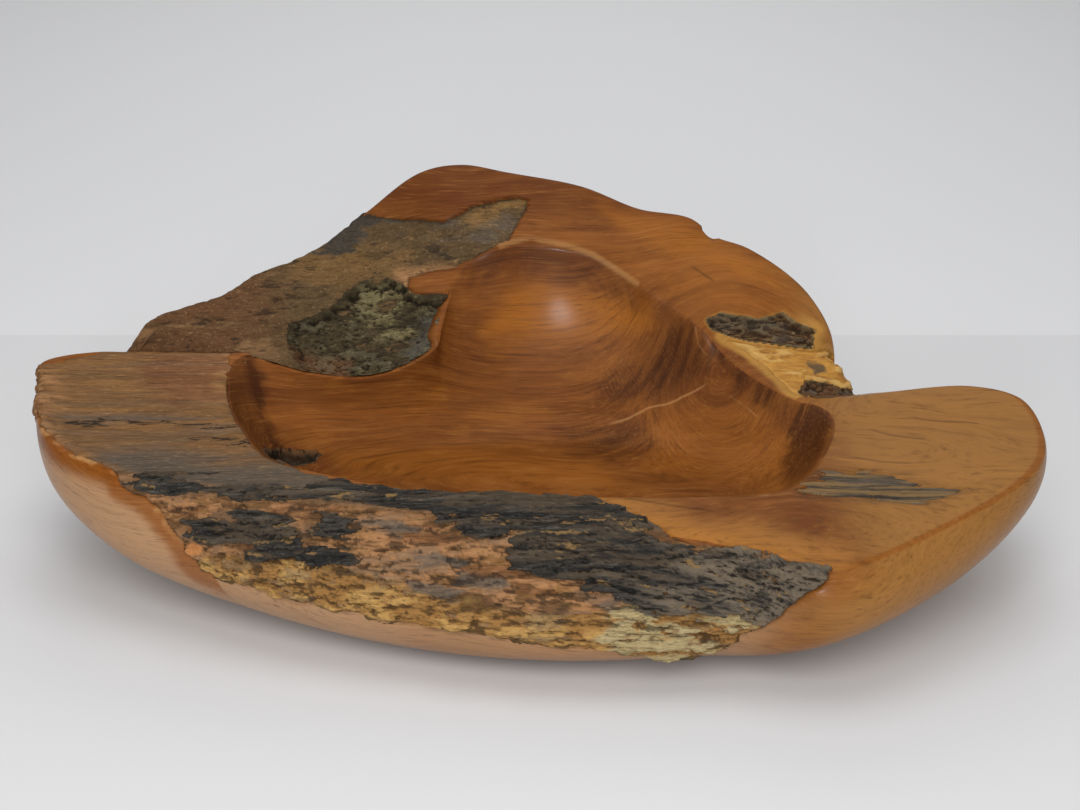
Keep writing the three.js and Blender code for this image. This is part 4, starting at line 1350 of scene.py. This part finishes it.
# A pale table with a sheet of paper behind it, which meet in a faint line
def set_stage():
    quad = np.array([[0, 1, 2, 3]])
    for name, finish, colour, roughness, near, far in (
        ("table_top", "pale_matt_table", TABLE_COLOUR, 0.9, -TABLE_REACH, TABLE_EDGE),
        ("paper_behind", "pale_matt_paper", SHEET_COLOUR, 0.95, TABLE_EDGE, TABLE_REACH),
    ):
        material, _, _ = new_finish(finish, Roughness=roughness, Base_Color=paint(colour))
        corners = np.array([
            [-TABLE_REACH, near, 0], [TABLE_REACH, near, 0], [TABLE_REACH, far, 0], [-TABLE_REACH, far, 0],
        ])
        make_piece(name, corners * METRE + MIDDLE, quad, {}, material)


def soft_lamp(name, place, aim, size, power, seen_in_gloss=False):
    lamp = bpy.data.lights.new(name, "AREA")
    lamp.shape = "DISK"
    lamp.size = size
    lamp.energy = power
    stand = bpy.data.objects.new(name, lamp)
    stand.location = place
    direction = np.array(aim, float) - np.array(place, float)
    flat = math.hypot(direction[0], direction[1])
    stand.rotation_euler = (math.atan2(flat, -direction[2]), 0, math.atan2(-direction[0], direction[1]))
    stand.visible_glossy = seen_in_gloss
    bpy.context.scene.collection.objects.link(stand)


def set_light_and_camera():
    scene = bpy.context.scene
    scene.view_settings.view_transform = "Standard"
    world = bpy.data.worlds.new("soft_room")
    world.use_nodes = True
    room = world.node_tree.nodes["Background"]
    room.inputs["Color"].default_value = paint(ROOM_COLOUR)
    room.inputs["Strength"].default_value = ROOM_LIGHT
    scene.world = world
    soft_lamp("front_softbox", (-0.06, -1.35, 1.2), (0, 0, 0.08), size=1.3, power=18)
    soft_lamp("overhead_softbox", (0.0, 0.0, 1.6), (0, 0, 0.05), size=1.2, power=7.5)
    soft_lamp("backdrop_softbox", (0.0, 1.45, 1.3), (0, 1.4, 0), size=1.4, power=7.5)
    soft_lamp("window", (-0.08, -1.36, 0.5), (0, 0, 0.1), size=0.2, power=3, seen_in_gloss=True)
    camera = bpy.data.cameras.new("photograph")
    camera.sensor_width = SENSOR_WIDTH
    camera.lens = FOCAL_PIXELS / PHOTO_WIDTH * SENSOR_WIDTH
    viewer = bpy.data.objects.new("photograph", camera)
    viewer.location = (EYE - MIDDLE) / METRE
    viewer.rotation_euler = (math.pi / 2 - CAMERA_PITCH, 0, 0)
    scene.collection.objects.link(viewer)
    scene.camera = viewer


teak = oiled_teak()
rind = raw_sapwood("weathered_raw_sapwood", "#8b633b", "#674b30", 1.0)
wing = raw_sapwood("olive_weathered_sapwood", "#654f35", "#4b3b26", 0.4)
bark = dry_bark()
crumbled = crumbled_bark()

carve("heartwood_hollow", HOLLOW_ROWS, FLOOR, True, teak)
carve("heartwood_deck_and_hull", OUTSIDE_ROWS, SOLE_CENTRE, False, teak)
live_edge = grow_live_edge(rind)
grow_wing_rind(wing)
grow_knot(pale_sapwood())
for scab in SCABS:
    grow_scab(*scab, bark)
scar = grow_scar(crumbled)
grow_pocket(
    "knot_bark_pocket", knot_pocket_cover, ribs=(5.4, 9.3), levels=(1.03, 2.06), material=crumbled,
    depth=4.5, seed=201, pale=0.6,
)
grow_pocket(
    "knot_bark_sliver", knot_sliver_cover, ribs=(2.7, 5.3), levels=(1.03, 2.06), material=crumbled,
    depth=2.0, seed=221, pale=0.3,
)
grow_deck_streak(bark)
grow_pocket(
    "hollow_bark_pocket", hollow_pocket_cover, ribs=(25.4, 30.6), levels=(0.62, 0.985), material=crumbled,
    depth=4.0, seed=241, pale=0.15, folded=0.3,
)

scatter = crumb_scatter()
lay_crumbs("live_edge_crumbs", live_edge, scatter, {
    "Per square metre": 90000.0, "Smallest": (0.0008, 0.0004, 0.0003), "Largest": (0.0028, 0.0011, 0.0008),
    "Seed": 7, "Finish": rind,
}, "live_edge_rind")
lay_crumbs("rear_scar_crumbs", scar, scatter, {
    "Per square metre": 60000.0, "Smallest": (0.0005, 0.0004, 0.0003), "Largest": (0.0022, 0.0013, 0.001),
    "Seed": 8, "Finish": crumbled,
}, "rear_bark_scar")
set_stage()
set_light_and_camera()
